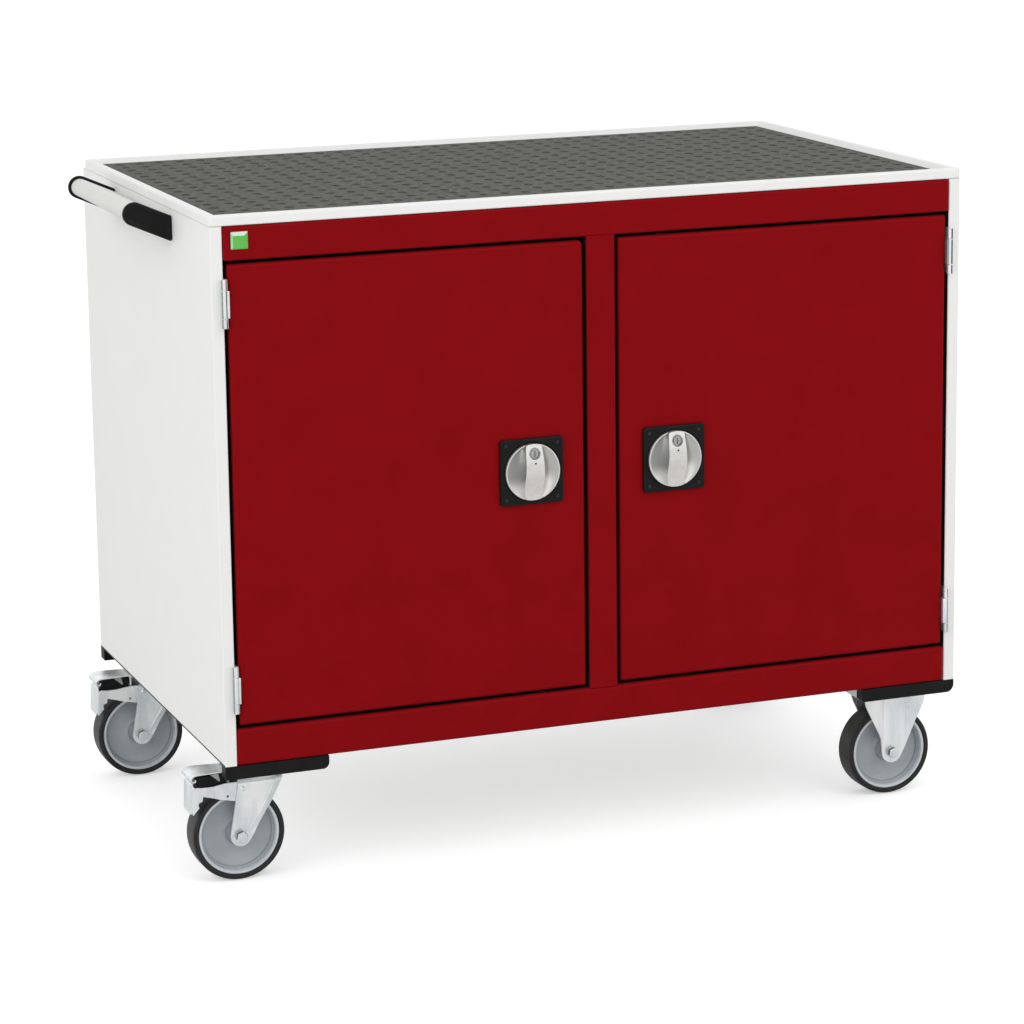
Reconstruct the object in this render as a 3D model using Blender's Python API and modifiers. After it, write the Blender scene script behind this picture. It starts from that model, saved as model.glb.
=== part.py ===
"""Mobile workbench: a steel two-door cupboard on four castors, with a mat-lined tray on top.

Metres, +Z up, front towards -Y. The origin is on the floor, under the middle of the whole
object's box. Left and right are as seen from the front.
"""
import math

import bmesh
import bpy
from mathutils import Matrix, Vector

# Cabinet shell
BODY_WIDTH = 1.050
BODY_DEPTH = 0.650
BODY_HEIGHT = 0.700
SHEET = 0.0012
BEND_RADIUS = 0.0018
SEAT_GAP = 0.0003
STILE_WIDTH = 0.016
STILE_RETURN = 0.020
REAR_FLANGE = 0.018
BACK_FOLD = 0.022
FLOOR_RISE = 0.046
FLOOR_SETBACK = 0.0223
PARTITION_FLANGE = 0.016

# Front frame: fascia above, rail below, mullion between the doors
FRONT_PROUD = 0.0015
FASCIA_HEIGHT = 0.044
RAIL_HEIGHT = 0.049
FRAME_FOLD = 0.0215
FRAME_END_GAP = 0.0006
FASCIA_EDGE_RADIUS = 0.0025
MULLION_WIDTH = 0.040
MULLION_DEPTH = 0.025

# Doors
DOOR_GAP = 0.0045
DOOR_SIDE_GAP = 0.005
DOOR_DEPTH = 0.020
DOOR_EDGE_RADIUS = 0.005

# Shelves
SHELF_HEIGHT = 0.340
SHELF_LIP = 0.025
SHELF_SETBACK = 0.040

# Tray and mat
TRAY_OVERHANG = 0.0013
TRAY_REAR_INSET = 0.015
TRAY_LIP_HEIGHT = 0.014
TRAY_HEM = 0.017
TRAY_FLOOR_RISE = 0.0047
TRAY_RETURN = 0.012
MAT_THICKNESS = 0.003
MAT_EDGE_RADIUS = 0.0006

# Badge on the fascia
BADGE_SIZE = 0.023
BADGE_THICKNESS = 0.0028
BADGE_EDGE = 0.0022
BADGE_END_INSET = 0.0095
BADGE_TOP_INSET = 0.0070

# Hinges
HINGE_LENGTH = 0.0625
HINGE_INSET = 0.0175
KNUCKLE_RADIUS = 0.004
KNUCKLE_TOP = 0.0145
KNUCKLE_BOTTOM = 0.0125
KNUCKLE_GAP = 0.0003
HINGE_PIN_RADIUS = 0.002
HINGE_AXIS_PROUD = 0.0045
LEAF_THICKNESS = 0.0015
LEAF_REACH = 0.0215
EYE_REACH = 0.0075
EYE_BACK = 0.0024
FRAME_LEAF_START = 0.0048
RUNNING_GAP = 0.0003

# Lock
LOCK_FROM_DOOR_EDGE = 0.076
PLATE_SIZE = 0.088
PLATE_THICKNESS = 0.006
PLATE_CORNER = 0.005
PLATE_RECESS = 0.002
NECK_RADIUS = 0.020
NECK_DEPTH = 0.004
NECK_CLEARANCE = 0.0005
KNOB_RADIUS = 0.0385
KNOB_SIDE_CLEARANCE = 0.001
KNOB_RIM = 0.0064
KNOB_HEIGHT = 0.0144
KNOB_CHAMFER = 0.0015
SCOOP_RADIUS = 0.024
RIDGE_HALF_WIDTH = 0.0135
SPINDLE_RADIUS = 0.005
SPINDLE_GRIP = 0.0075
CAM_RADIUS = 0.022
CAM_THICKNESS = 0.003
CAM_SETBACK = 0.0065
KEY_RADIUS = 0.0075
KEY_RAISE = 0.0255
KEY_DEPTH = 0.009
KEY_PROUD = 0.0005
KEYWAY_WIDTH = 0.0016
KEYWAY_HEIGHT = 0.008
KEYWAY_DEPTH = 0.003
ROD_WIDTH = 0.012
ROD_THICKNESS = 0.004
ROD_OFFSET = 0.014
ROD_START = 0.010

# Push handle on the left side
HANDLE_LENGTH = 0.300
HANDLE_SLOPE_DEG = 24.0
HANDLE_ARM = 0.049
HANDLE_NOSE_RADIUS = 0.0155
HANDLE_DROP = 0.0250
HANDLE_RETURN = 0.016
HANDLE_FLANGE = 0.030
HANDLE_SHEET = 0.0015
HANDLE_CAP = 0.006

# Castor channels under the cabinet and their end caps
CHANNEL_HEIGHT = 0.018
CHANNEL_SHEET = 0.0025
CHANNEL_INSET = 0.018
CAP_WIDTH = 0.140
CAP_DEPTH = 0.020
CAP_CORNER = 0.008

# Castors
CASTOR_HEIGHT = 0.155
CASTOR_FROM_SIDE = 0.070
CASTOR_FROM_FRONT = 0.075
WHEEL_RADIUS = 0.0625
TYRE_THICKNESS = 0.0075
TYRE_WIDTH = 0.038
TYRE_SHOULDER = 0.004
HUB_RIM = 0.004
HUB_RIM_WIDTH = 0.034
HUB_WEB = 0.010
HUB_BOSS_RADIUS = 0.013
HUB_BOSS_WIDTH = 0.045
HUB_SLOPE = 0.006
AXLE_RADIUS = 0.004
AXLE_END = 0.0085
NUT_RADIUS = 0.008
NUT_THICKNESS = 0.006
TRAIL = 0.038
TOP_PLATE_LENGTH = 0.105
TOP_PLATE_WIDTH = 0.085
TOP_PLATE_THICKNESS = 0.003
RACE_RADIUS = 0.028
RACE_DEPTH = 0.0085
CROWN_RADIUS = 0.027
CROWN_DEPTH = 0.005
FORK_SHEET = 0.003
FORK_INNER_HALF = 0.0235
SWIVEL_FOOT_RADIUS = 0.014
SWIVEL_LEG_REACH = 0.060
FIXED_FOOT_RADIUS = 0.017
FIXED_LEG_REACH = 0.0515
PEDAL_SHEET = 0.0025
PEDAL_HALF_WIDTH = 0.0228
PEDAL_ARM_SHEET = 0.002
PEDAL_PIVOT_AHEAD = 0.004
PEDAL_PIVOT_RISE = 0.064
PEDAL_REACH = 0.070
PEDAL_RISE = 0.089

# Outline points, as shares of the piece's reach and of its rise above the axle
SWIVEL_LEG_SHARES = ((0.81, 0.55), (0.91, 0.72), (1.0, 1.0), (-0.03, 1.0))
FIXED_LEG_SHARES = ((0.97, 0.90), (1.0, 1.0), (-1.0, 1.0), (-0.97, 0.90))
PEDAL_ARM_SHARES = (
    (0.16, 0.63), (0.16, 0.787), (-0.05, 0.82), (-0.50, 0.815), (-0.947, 0.843), (-0.843, 0.70),
    (-0.843, 0.652), (-0.70, 0.66), (-0.09, 0.545),
)
PEDAL_PAD_SHARES = (
    (-0.12, 0.93), (-0.62, 0.97), (-0.86, 1.0), (-1.0, 0.885), (-0.86, 0.70), (-0.86, 0.60),
    (-0.945, 0.35),
)

# Facets of round pieces
WHEEL_SIDES = 32
KNOB_SIDES = 40
PIN_SIDES = 16
ARC_STEPS = 8
SMOOTH_ANGLE = math.radians(35)
CUT_OVERRUN = 0.002

# Heights and planes that the pieces share
BODY_BASE = CASTOR_HEIGHT + CHANNEL_HEIGHT
BODY_TOP = BODY_BASE + BODY_HEIGHT
HALF_WIDTH = BODY_WIDTH / 2
HALF_DEPTH = BODY_DEPTH / 2
INNER_HALF_WIDTH = HALF_WIDTH - SHEET - SEAT_GAP
FRONT_FACE = -HALF_DEPTH - FRONT_PROUD
BACK_FACE = HALF_DEPTH - SHEET - SEAT_GAP
INSIDE_REAR = BACK_FACE - BACK_FOLD - SEAT_GAP
DOOR_TOP = BODY_TOP - FASCIA_HEIGHT - DOOR_GAP
DOOR_BOTTOM = BODY_BASE + RAIL_HEIGHT + DOOR_GAP
DOOR_OUTER_X = HALF_WIDTH - STILE_WIDTH - DOOR_SIDE_GAP
DOOR_INNER_X = MULLION_WIDTH / 2 + DOOR_SIDE_GAP
HINGE_AXIS_X = HALF_WIDTH - STILE_WIDTH
HINGE_AXIS_Y = -HALF_DEPTH - HINGE_AXIS_PROUD
LOCK_X = DOOR_INNER_X + LOCK_FROM_DOOR_EDGE
LOCK_Z = (DOOR_TOP + DOOR_BOTTOM) / 2
PLATE_FRONT = FRONT_FACE - SEAT_GAP - PLATE_THICKNESS
KNOB_BACK = PLATE_FRONT + PLATE_RECESS - SEAT_GAP
KEY_FRONT = KNOB_BACK - KNOB_HEIGHT - KEY_PROUD
HANDLE_SLOPE = math.radians(HANDLE_SLOPE_DEG)
CASTOR_X = HALF_WIDTH - CASTOR_FROM_SIDE
CASTOR_Y = HALF_DEPTH - CASTOR_FROM_FRONT
PLATE_TOP = CASTOR_HEIGHT - SEAT_GAP
CROWN_TOP = PLATE_TOP - TOP_PLATE_THICKNESS - RACE_DEPTH - SEAT_GAP
LEG_TOP = CROWN_TOP - CROWN_DEPTH + FORK_SHEET / 2
LEG_RISE = LEG_TOP - WHEEL_RADIUS
FIXED_LEG_RISE = PLATE_TOP - WHEEL_RADIUS
ROD_FRONT = FRONT_FACE + CAM_SETBACK + CAM_THICKNESS + SEAT_GAP

# The cabinet stands off the origin, so that the origin is under the middle of the whole box.
HANDLE_CENTRE_RISE = HANDLE_ARM * math.tan(HANDLE_SLOPE)
LEFT_REACH = HALF_WIDTH + SEAT_GAP + HANDLE_ARM + HANDLE_NOSE_RADIUS
RIGHT_REACH = HALF_WIDTH + TRAY_OVERHANG
CABINET_X = (LEFT_REACH - RIGHT_REACH) / 2
CABINET_Y = (-KEY_FRONT - HALF_DEPTH) / 2

TURN_TO_FRONT = (math.pi / 2, 0, 0)


def start_scene():
    """Empties the scene and makes the collections and the frame that carries every piece."""
    for thing in list(bpy.data.objects):
        bpy.data.objects.remove(thing, do_unlink=True)
    parts = bpy.data.collections.new("mobile_workbench")
    cutters = bpy.data.collections.new("workbench_cutters")
    for collection in (parts, cutters):
        bpy.context.scene.collection.children.link(collection)
    frame = bpy.data.objects.new("workbench_frame", None)
    frame.location = (CABINET_X, CABINET_Y, 0)
    parts.objects.link(frame)
    return parts, cutters, frame


PARTS, CUTTERS, FRAME = start_scene()


def make_material(name, colour, roughness, metallic):
    """A Principled material with one colour."""
    material = bpy.data.materials.new(name)
    material.use_nodes = True
    shader = material.node_tree.nodes["Principled BSDF"]
    shader.inputs["Base Color"].default_value = (*colour, 1)
    shader.inputs["Roughness"].default_value = roughness
    shader.inputs["Metallic"].default_value = metallic
    return material


GREY_PAINT = make_material("light_grey_powder_coat", (0.76, 0.76, 0.74), 0.45, 0.0)
RED_PAINT = make_material("red_powder_coat", (0.20, 0.006, 0.008), 0.42, 0.0)
MAT_RUBBER = make_material("ribbed_rubber_mat", (0.12, 0.12, 0.11), 0.80, 0.0)
BLACK_PLASTIC = make_material("black_moulded_plastic", (0.018, 0.019, 0.018), 0.50, 0.0)
GREEN_PLASTIC = make_material("green_moulded_plastic", (0.11, 0.47, 0.07), 0.30, 0.0)
ZINC_STEEL = make_material("zinc_plated_steel", (0.62, 0.65, 0.67), 0.32, 1.0)
SILVER_METAL = make_material("satin_silver_metal", (0.60, 0.61, 0.60), 0.33, 1.0)
HUB_PLASTIC = make_material("grey_hub_plastic", (0.25, 0.27, 0.29), 0.45, 0.0)
TYRE_RUBBER = make_material("black_tyre_rubber", (0.022, 0.022, 0.022), 0.70, 0.0)


def place(name, mesh, material, location=(0, 0, 0), turn=(0, 0, 0), smooth=False):
    """Adds a finished piece at its place in the cabinet's frame."""
    thing = bpy.data.objects.new(name, mesh)
    mesh.materials.append(material)
    if smooth:
        mesh.shade_smooth()
        mesh.set_sharp_from_angle(angle=SMOOTH_ANGLE)
    PARTS.objects.link(thing)
    thing.parent = FRAME
    thing.location = location
    thing.rotation_euler = turn
    return thing


def place_tool(name, mesh, location=(0, 0, 0), turn=(0, 0, 0)):
    """Adds a hidden shape that cuts a piece or is joined to it."""
    thing = bpy.data.objects.new(name, mesh)
    CUTTERS.objects.link(thing)
    thing.parent = FRAME
    thing.location = location
    thing.rotation_euler = turn
    thing.hide_render = True
    thing.display_type = "WIRE"
    return thing


def combine(piece, tool, operation):
    """Cuts a tool out of a piece with DIFFERENCE, or joins it on with UNION."""
    modifier = piece.modifiers.new(tool.name, "BOOLEAN")
    modifier.operation = operation
    modifier.solver = "EXACT"
    modifier.object = tool


def mesh_from_bmesh(name, shape):
    """Turns a bmesh into a mesh and frees it."""
    mesh = bpy.data.meshes.new(name)
    shape.to_mesh(mesh)
    shape.free()
    return mesh


def box_mesh(name, low, high):
    """A box between two corners."""
    low, high = Vector(low), Vector(high)
    shape = bmesh.new()
    spread = Matrix.Diagonal((*(high - low), 1))
    bmesh.ops.create_cube(shape, size=1, matrix=Matrix.Translation((low + high) / 2) @ spread)
    return mesh_from_bmesh(name, shape)


def cylinder_mesh(name, radius, length, centre=(0, 0, 0), axis="Z", sides=PIN_SIDES):
    """A cylinder round X, Y or Z, centred on a point."""
    turns = {
        "X": Matrix.Rotation(math.pi / 2, 4, "Y"),
        "Y": Matrix.Rotation(math.pi / 2, 4, "X"),
        "Z": Matrix.Identity(4),
    }
    shape = bmesh.new()
    bmesh.ops.create_cone(
        shape, cap_ends=True, segments=sides, radius1=radius, radius2=radius, depth=length,
        matrix=Matrix.Translation(centre) @ turns[axis],
    )
    return mesh_from_bmesh(name, shape)


def outline_mesh(name, points, thickness):
    """A flat plate with a drawn outline, spread evenly to both sides of its own XY plane."""
    curve = bpy.data.curves.new(name, "CURVE")
    curve.dimensions = "2D"
    curve.fill_mode = "BOTH"
    curve.extrude = thickness / 2
    spline = curve.splines.new("POLY")
    spline.points.add(len(points) - 1)
    for point, (x, y) in zip(spline.points, points):
        point.co = (x, y, 0, 1)
    spline.use_cyclic_u = True
    drawn = bpy.data.objects.new(name + "_outline", curve)
    CUTTERS.objects.link(drawn)
    depsgraph = bpy.context.evaluated_depsgraph_get()
    mesh = bpy.data.meshes.new_from_object(drawn.evaluated_get(depsgraph))
    bpy.data.objects.remove(drawn, do_unlink=True)
    shape = bmesh.new()
    shape.from_mesh(mesh)
    bmesh.ops.remove_doubles(shape, verts=shape.verts, dist=SEAT_GAP / 10)
    shape.to_mesh(mesh)
    shape.free()
    return mesh


def turned_piece(name, profile, material, location, turn, sides):
    """A piece turned round its own Z from a closed or axis-to-axis profile of (radius, height)."""
    shape = bmesh.new()
    points = [shape.verts.new((radius, 0, height)) for radius, height in profile]
    closed = profile[0][0] > 0
    last = len(points) if closed else len(points) - 1
    for index in range(last):
        shape.edges.new((points[index], points[(index + 1) % len(points)]))
    piece = place(name, mesh_from_bmesh(name, shape), material, location, turn)
    screw = piece.modifiers.new("turn", "SCREW")
    screw.steps = sides
    screw.render_steps = sides
    screw.use_merge_vertices = True
    screw.merge_threshold = SEAT_GAP / 10
    screw.use_smooth_shade = True
    return piece


def add_bevel(piece, radius, segments=2, by_weight=False):
    """Rounds the piece's folds."""
    bevel = piece.modifiers.new("bend", "BEVEL")
    bevel.width = radius
    bevel.segments = segments
    bevel.limit_method = "WEIGHT" if by_weight else "ANGLE"


def add_wall(piece, thickness):
    """Gives an open surface its wall, on the side away from its normals."""
    wall = piece.modifiers.new("wall", "SOLIDIFY")
    wall.thickness = thickness
    wall.offset = -1
    wall.use_even_offset = True


def folded_sheet(name, path, length, material, location, turn=(0, 0, 0), sheet=SHEET):
    """A folded strip: its outer surface follows a path in XY, with the outside on the right."""
    shape = bmesh.new()
    low = [shape.verts.new((x, y, 0)) for x, y in path]
    high = [shape.verts.new((x, y, length)) for x, y in path]
    for index in range(len(path) - 1):
        shape.faces.new((low[index], low[index + 1], high[index + 1], high[index]))
    piece = place(name, mesh_from_bmesh(name, shape), material, location, turn)
    add_bevel(piece, max(BEND_RADIUS, sheet + SEAT_GAP))
    add_wall(piece, sheet)
    return piece


def stepped_sheet(name, steps, material, location, turn, radius, sheet=SHEET, foot_share=1):
    """A pressed sheet: a flat rectangle whose rim is drawn out through further rectangles.

    Each step is (half width, half height, level). The first one is the flat face, seen along
    -Z. The foot is the flat face's edge at -Y, whose radius may be a share of the others'.
    """
    shape = bmesh.new()
    corners = ((-1, -1), (1, -1), (1, 1), (-1, 1))
    rings = [
        [shape.verts.new((x * half_x, y * half_y, level)) for x, y in corners]
        for half_x, half_y, level in steps
    ]
    shape.faces.new(rings[0])
    for ring, outer in zip(rings, rings[1:]):
        for index in range(len(corners)):
            after = (index + 1) % len(corners)
            shape.faces.new((ring[after], ring[index], outer[index], outer[after]))
    weights = shape.edges.layers.float.new("bevel_weight_edge")
    for edge in shape.edges:
        edge[weights] = 0 if edge.is_boundary else 1
    foot = shape.edges.get(rings[0][:2])
    foot[weights] = foot_share
    piece = place(name, mesh_from_bmesh(name, shape), material, location, turn, smooth=True)
    add_bevel(piece, radius, segments=3, by_weight=True)
    add_wall(piece, sheet)
    return piece


def arc(centre, radius, start, end, steps=ARC_STEPS):
    """Points along an arc, both ends included."""
    return [
        (
            centre[0] + radius * math.cos(start + (end - start) * step / steps),
            centre[1] + radius * math.sin(start + (end - start) * step / steps),
        )
        for step in range(steps + 1)
    ]


def footed_outline(radius, points):
    """An outline with a round foot about the origin, tangent to its first and last points."""
    def direction(point, side):
        reach = math.hypot(*point)
        return math.atan2(point[1], point[0]) + side * math.acos(radius / reach)

    start = direction(points[0], -1)
    end = direction(points[-1], 1) - 2 * math.pi
    return arc((0, 0), radius, start, end)[::-1] + list(points)


def shared_points(shares, reach, rise):
    """Outline points from shares of a reach and a rise."""
    return [(share_x * reach, share_z * rise) for share_x, share_z in shares]


def make_side_panel(name, side):
    """A side wall with its front stile, the stile's return and a rear flange."""
    path = [
        (HALF_WIDTH - REAR_FLANGE, HALF_DEPTH),
        (HALF_WIDTH, HALF_DEPTH),
        (HALF_WIDTH, -HALF_DEPTH),
        (HALF_WIDTH - STILE_WIDTH, -HALF_DEPTH),
        (HALF_WIDTH - STILE_WIDTH, -HALF_DEPTH + STILE_RETURN),
    ]
    path = [(side * x, y) for x, y in path]
    if side > 0:
        path.reverse()
    folded_sheet(name, path, BODY_HEIGHT - SEAT_GAP, GREY_PAINT, (0, 0, BODY_BASE + SEAT_GAP))


def make_shell():
    """Side walls, back, floor and the partition between the two cupboards."""
    make_side_panel("side_panel_left", -1)
    make_side_panel("side_panel_right", 1)

    half_height = (BODY_HEIGHT - 2 * SEAT_GAP) / 2
    steps = [(INNER_HALF_WIDTH, half_height, 0), (INNER_HALF_WIDTH, half_height, -BACK_FOLD)]
    middle = BODY_BASE + BODY_HEIGHT / 2
    stepped_sheet(
        "back_panel", steps, GREY_PAINT, (0, BACK_FACE, middle), (-math.pi / 2, 0, 0), BEND_RADIUS
    )

    floor_front = FRONT_FACE + FLOOR_SETBACK
    half_run = (INSIDE_REAR - floor_front) / 2
    depth = FLOOR_RISE - SEAT_GAP
    steps = [(INNER_HALF_WIDTH, half_run, 0), (INNER_HALF_WIDTH, half_run, -depth)]
    place_y = (INSIDE_REAR + floor_front) / 2
    stepped_sheet(
        "floor_panel", steps, GREY_PAINT, (0, place_y, BODY_BASE + FLOOR_RISE), (0, 0, 0), BEND_RADIUS
    )

    front = FRONT_FACE + FRAME_FOLD + SEAT_GAP
    rear = BACK_FACE - SHEET - SEAT_GAP
    web = -SHEET / 2
    path = [
        (web + PARTITION_FLANGE, rear), (web, rear), (web, front), (web + PARTITION_FLANGE, front),
    ]
    base = BODY_BASE + FLOOR_RISE + SEAT_GAP
    height = BODY_TOP - SHEET - 2 * SEAT_GAP - base
    folded_sheet("centre_partition", path, height, GREY_PAINT, (0, 0, base))


def make_front_frame():
    """The red fascia, bottom rail and mullion."""
    half_run = HALF_WIDTH - STILE_WIDTH - FRAME_END_GAP
    fascia_base = BODY_TOP - FASCIA_HEIGHT
    rail_top = BODY_BASE + RAIL_HEIGHT
    sharp = BEND_RADIUS / DOOR_EDGE_RADIUS
    bars = (
        ("top_fascia", fascia_base, BODY_TOP - SEAT_GAP, FASCIA_EDGE_RADIUS, 1, fascia_base, -1),
        ("bottom_rail", BODY_BASE + SEAT_GAP, rail_top, DOOR_EDGE_RADIUS, sharp, rail_top, 1),
    )
    for name, base, top, radius, foot_share, slot_level, end in bars:
        half_height = (top - base) / 2
        steps = [(half_run, half_height, 0), (half_run, half_height, -FRAME_FOLD)]
        spot = (0, FRONT_FACE, (top + base) / 2)
        bar = stepped_sheet(name, steps, RED_PAINT, spot, TURN_TO_FRONT, radius, foot_share=foot_share)
        for side in (-1, 1):
            cut_rod_slot(bar, side * LOCK_X + end * ROD_OFFSET, slot_level)

    half = MULLION_WIDTH / 2
    rear = FRONT_FACE + MULLION_DEPTH
    path = [(-half, rear), (-half, FRONT_FACE), (half, FRONT_FACE), (half, rear)]
    base = BODY_BASE + RAIL_HEIGHT + SEAT_GAP
    height = BODY_TOP - FASCIA_HEIGHT - SEAT_GAP - base
    folded_sheet("mullion", path, height, RED_PAINT, (0, 0, base))


def make_shelf(name, side, inner):
    """A shelf with lips turned down all round, from a side wall to near the partition."""
    front = FRONT_FACE + DOOR_DEPTH + SHELF_SETBACK
    half_run = (INNER_HALF_WIDTH - inner) / 2
    half_depth = (INSIDE_REAR - front) / 2
    steps = [(half_run, half_depth, 0), (half_run, half_depth, -SHELF_LIP)]
    middle = (side * (INNER_HALF_WIDTH + inner) / 2, (INSIDE_REAR + front) / 2)
    spot = (*middle, BODY_BASE + SHELF_HEIGHT)
    stepped_sheet(name, steps, GREY_PAINT, spot, (0, 0, 0), BEND_RADIUS)


def make_top():
    """The tray with its folded lip, and the mat that lies in it."""
    half_x = HALF_WIDTH + TRAY_OVERHANG
    front = -HALF_DEPTH - TRAY_OVERHANG
    rear = HALF_DEPTH - TRAY_REAR_INSET
    half_y = (rear - front) / 2
    middle = (rear + front) / 2
    steps = [
        (half_x - TRAY_HEM, half_y - TRAY_HEM, TRAY_FLOOR_RISE),
        (half_x - TRAY_HEM, half_y - TRAY_HEM, TRAY_LIP_HEIGHT),
        (half_x, half_y, TRAY_LIP_HEIGHT),
        (half_x, half_y, SEAT_GAP),
        (half_x - TRAY_RETURN, half_y - TRAY_RETURN, SEAT_GAP),
    ]
    stepped_sheet("top_tray", steps, GREY_PAINT, (0, middle, BODY_TOP), (0, 0, 0), BEND_RADIUS)

    reach_x = half_x - TRAY_HEM - SEAT_GAP - BEND_RADIUS
    reach_y = half_y - TRAY_HEM - SEAT_GAP - BEND_RADIUS
    under = TRAY_FLOOR_RISE + SEAT_GAP
    mesh = box_mesh("tray_mat", (-reach_x, -reach_y, under), (reach_x, reach_y, under + MAT_THICKNESS))
    mat = place("tray_mat", mesh, MAT_RUBBER, (0, middle, BODY_TOP))
    add_bevel(mat, MAT_EDGE_RADIUS, segments=1)


def make_badge():
    """The plain domed square at the fascia's left end."""
    half = BADGE_SIZE / 2
    mesh = box_mesh("badge", (-half, -BADGE_THICKNESS, -half), (half, 0, half))
    left = -HALF_WIDTH + STILE_WIDTH + FRAME_END_GAP + BADGE_END_INSET + half
    level = BODY_TOP - BADGE_TOP_INSET - half
    badge = place("badge", mesh, GREEN_PLASTIC, (left, FRONT_FACE - SEAT_GAP, level))
    add_bevel(badge, BADGE_EDGE, segments=3)


def cut_rod_slot(piece, slot_x, level):
    """Cuts the slot that a locking rod passes, through a fold at a height."""
    half = ROD_WIDTH / 2 + SEAT_GAP
    reach = SHEET + CUT_OVERRUN
    mesh = box_mesh(
        piece.name + "_slot", (-half, ROD_FRONT - SEAT_GAP, -reach),
        (half, ROD_FRONT + ROD_THICKNESS + SEAT_GAP, reach),
    )
    combine(piece, place_tool(mesh.name, mesh, (slot_x, 0, level)), "DIFFERENCE")


def make_door(name, side):
    """A pressed door skin with a hole for the lock's neck and slots for the locking rods."""
    half_x = (DOOR_OUTER_X - DOOR_INNER_X) / 2
    half_z = (DOOR_TOP - DOOR_BOTTOM) / 2
    steps = [(half_x, half_z, 0), (half_x, half_z, -DOOR_DEPTH)]
    middle_x = side * (DOOR_OUTER_X + DOOR_INNER_X) / 2
    axis_x = side * HINGE_AXIS_X
    door = stepped_sheet(
        name, steps, RED_PAINT, (middle_x, FRONT_FACE, LOCK_Z), TURN_TO_FRONT, DOOR_EDGE_RADIUS
    )
    shift = Matrix.Translation((middle_x - axis_x, 0, -(FRONT_FACE - HINGE_AXIS_Y)))
    door.data.transform(shift)
    door.location = (axis_x, HINGE_AXIS_Y, LOCK_Z)

    hole = cylinder_mesh(
        name + "_hole", NECK_RADIUS + NECK_CLEARANCE, 2 * DOOR_DEPTH, axis="Y", sides=WHEEL_SIDES
    )
    combine(door, place_tool(name + "_hole", hole, (side * LOCK_X, FRONT_FACE, LOCK_Z)), "DIFFERENCE")
    cut_rod_slot(door, side * LOCK_X - ROD_OFFSET, DOOR_TOP)
    cut_rod_slot(door, side * LOCK_X + ROD_OFFSET, DOOR_BOTTOM)


def make_hinge(ending, side, base):
    """A three-knuckle hinge: the frame leaf carries the pin, the door leaf the middle knuckle."""
    inward = -side
    place_at = (side * HINGE_AXIS_X, HINGE_AXIS_Y, base)
    middle_low = KNUCKLE_BOTTOM + KNUCKLE_GAP
    middle_high = HINGE_LENGTH - KNUCKLE_TOP - KNUCKLE_GAP

    near = SEAT_GAP
    far = SEAT_GAP + LEAF_THICKNESS
    low_x, high_x = sorted((inward * near, inward * far))
    name = "hinge_frame_leaf_" + ending
    leaf = place(
        name, box_mesh(name, (low_x, FRAME_LEAF_START, 0), (high_x, LEAF_REACH, HINGE_LENGTH)),
        ZINC_STEEL, place_at,
    )
    pin = cylinder_mesh(
        name + "_pin", HINGE_PIN_RADIUS, HINGE_LENGTH - LEAF_THICKNESS, (0, 0, HINGE_LENGTH / 2)
    )
    joined = [pin]
    for low, high in ((0, KNUCKLE_BOTTOM), (HINGE_LENGTH - KNUCKLE_TOP, HINGE_LENGTH)):
        joined.append(
            cylinder_mesh(name + "_knuckle", KNUCKLE_RADIUS, high - low, (0, 0, (low + high) / 2))
        )
        joined.append(
            box_mesh(name + "_wing", (low_x, 0, low), (high_x, FRAME_LEAF_START + LEAF_THICKNESS, high))
        )
    for mesh in joined:
        combine(leaf, place_tool(mesh.name, mesh, place_at), "UNION")

    near = DOOR_SIDE_GAP - SEAT_GAP - LEAF_THICKNESS
    far = DOOR_SIDE_GAP - SEAT_GAP
    low_x, high_x = sorted((inward * near, inward * far))
    name = "hinge_door_leaf_" + ending
    leaf = place(
        name, box_mesh(name, (low_x, 0, middle_low), (high_x, LEAF_REACH, middle_high)),
        ZINC_STEEL, place_at,
    )
    eye_low, eye_high = sorted((0, inward * EYE_REACH))
    length = middle_high - middle_low
    middle = (0, 0, (middle_low + middle_high) / 2)
    eye = box_mesh(
        name + "_eye", (eye_low, -KNUCKLE_RADIUS, middle_low), (eye_high, EYE_BACK, middle_high)
    )
    knuckle = cylinder_mesh(name + "_knuckle", KNUCKLE_RADIUS, length, middle)
    bore = cylinder_mesh(
        name + "_bore", HINGE_PIN_RADIUS + RUNNING_GAP, length + 2 * CUT_OVERRUN, middle
    )
    combine(leaf, place_tool(eye.name, eye, place_at), "UNION")
    combine(leaf, place_tool(knuckle.name, knuckle, place_at), "UNION")
    combine(leaf, place_tool(bore.name, bore, place_at), "DIFFERENCE")


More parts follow.
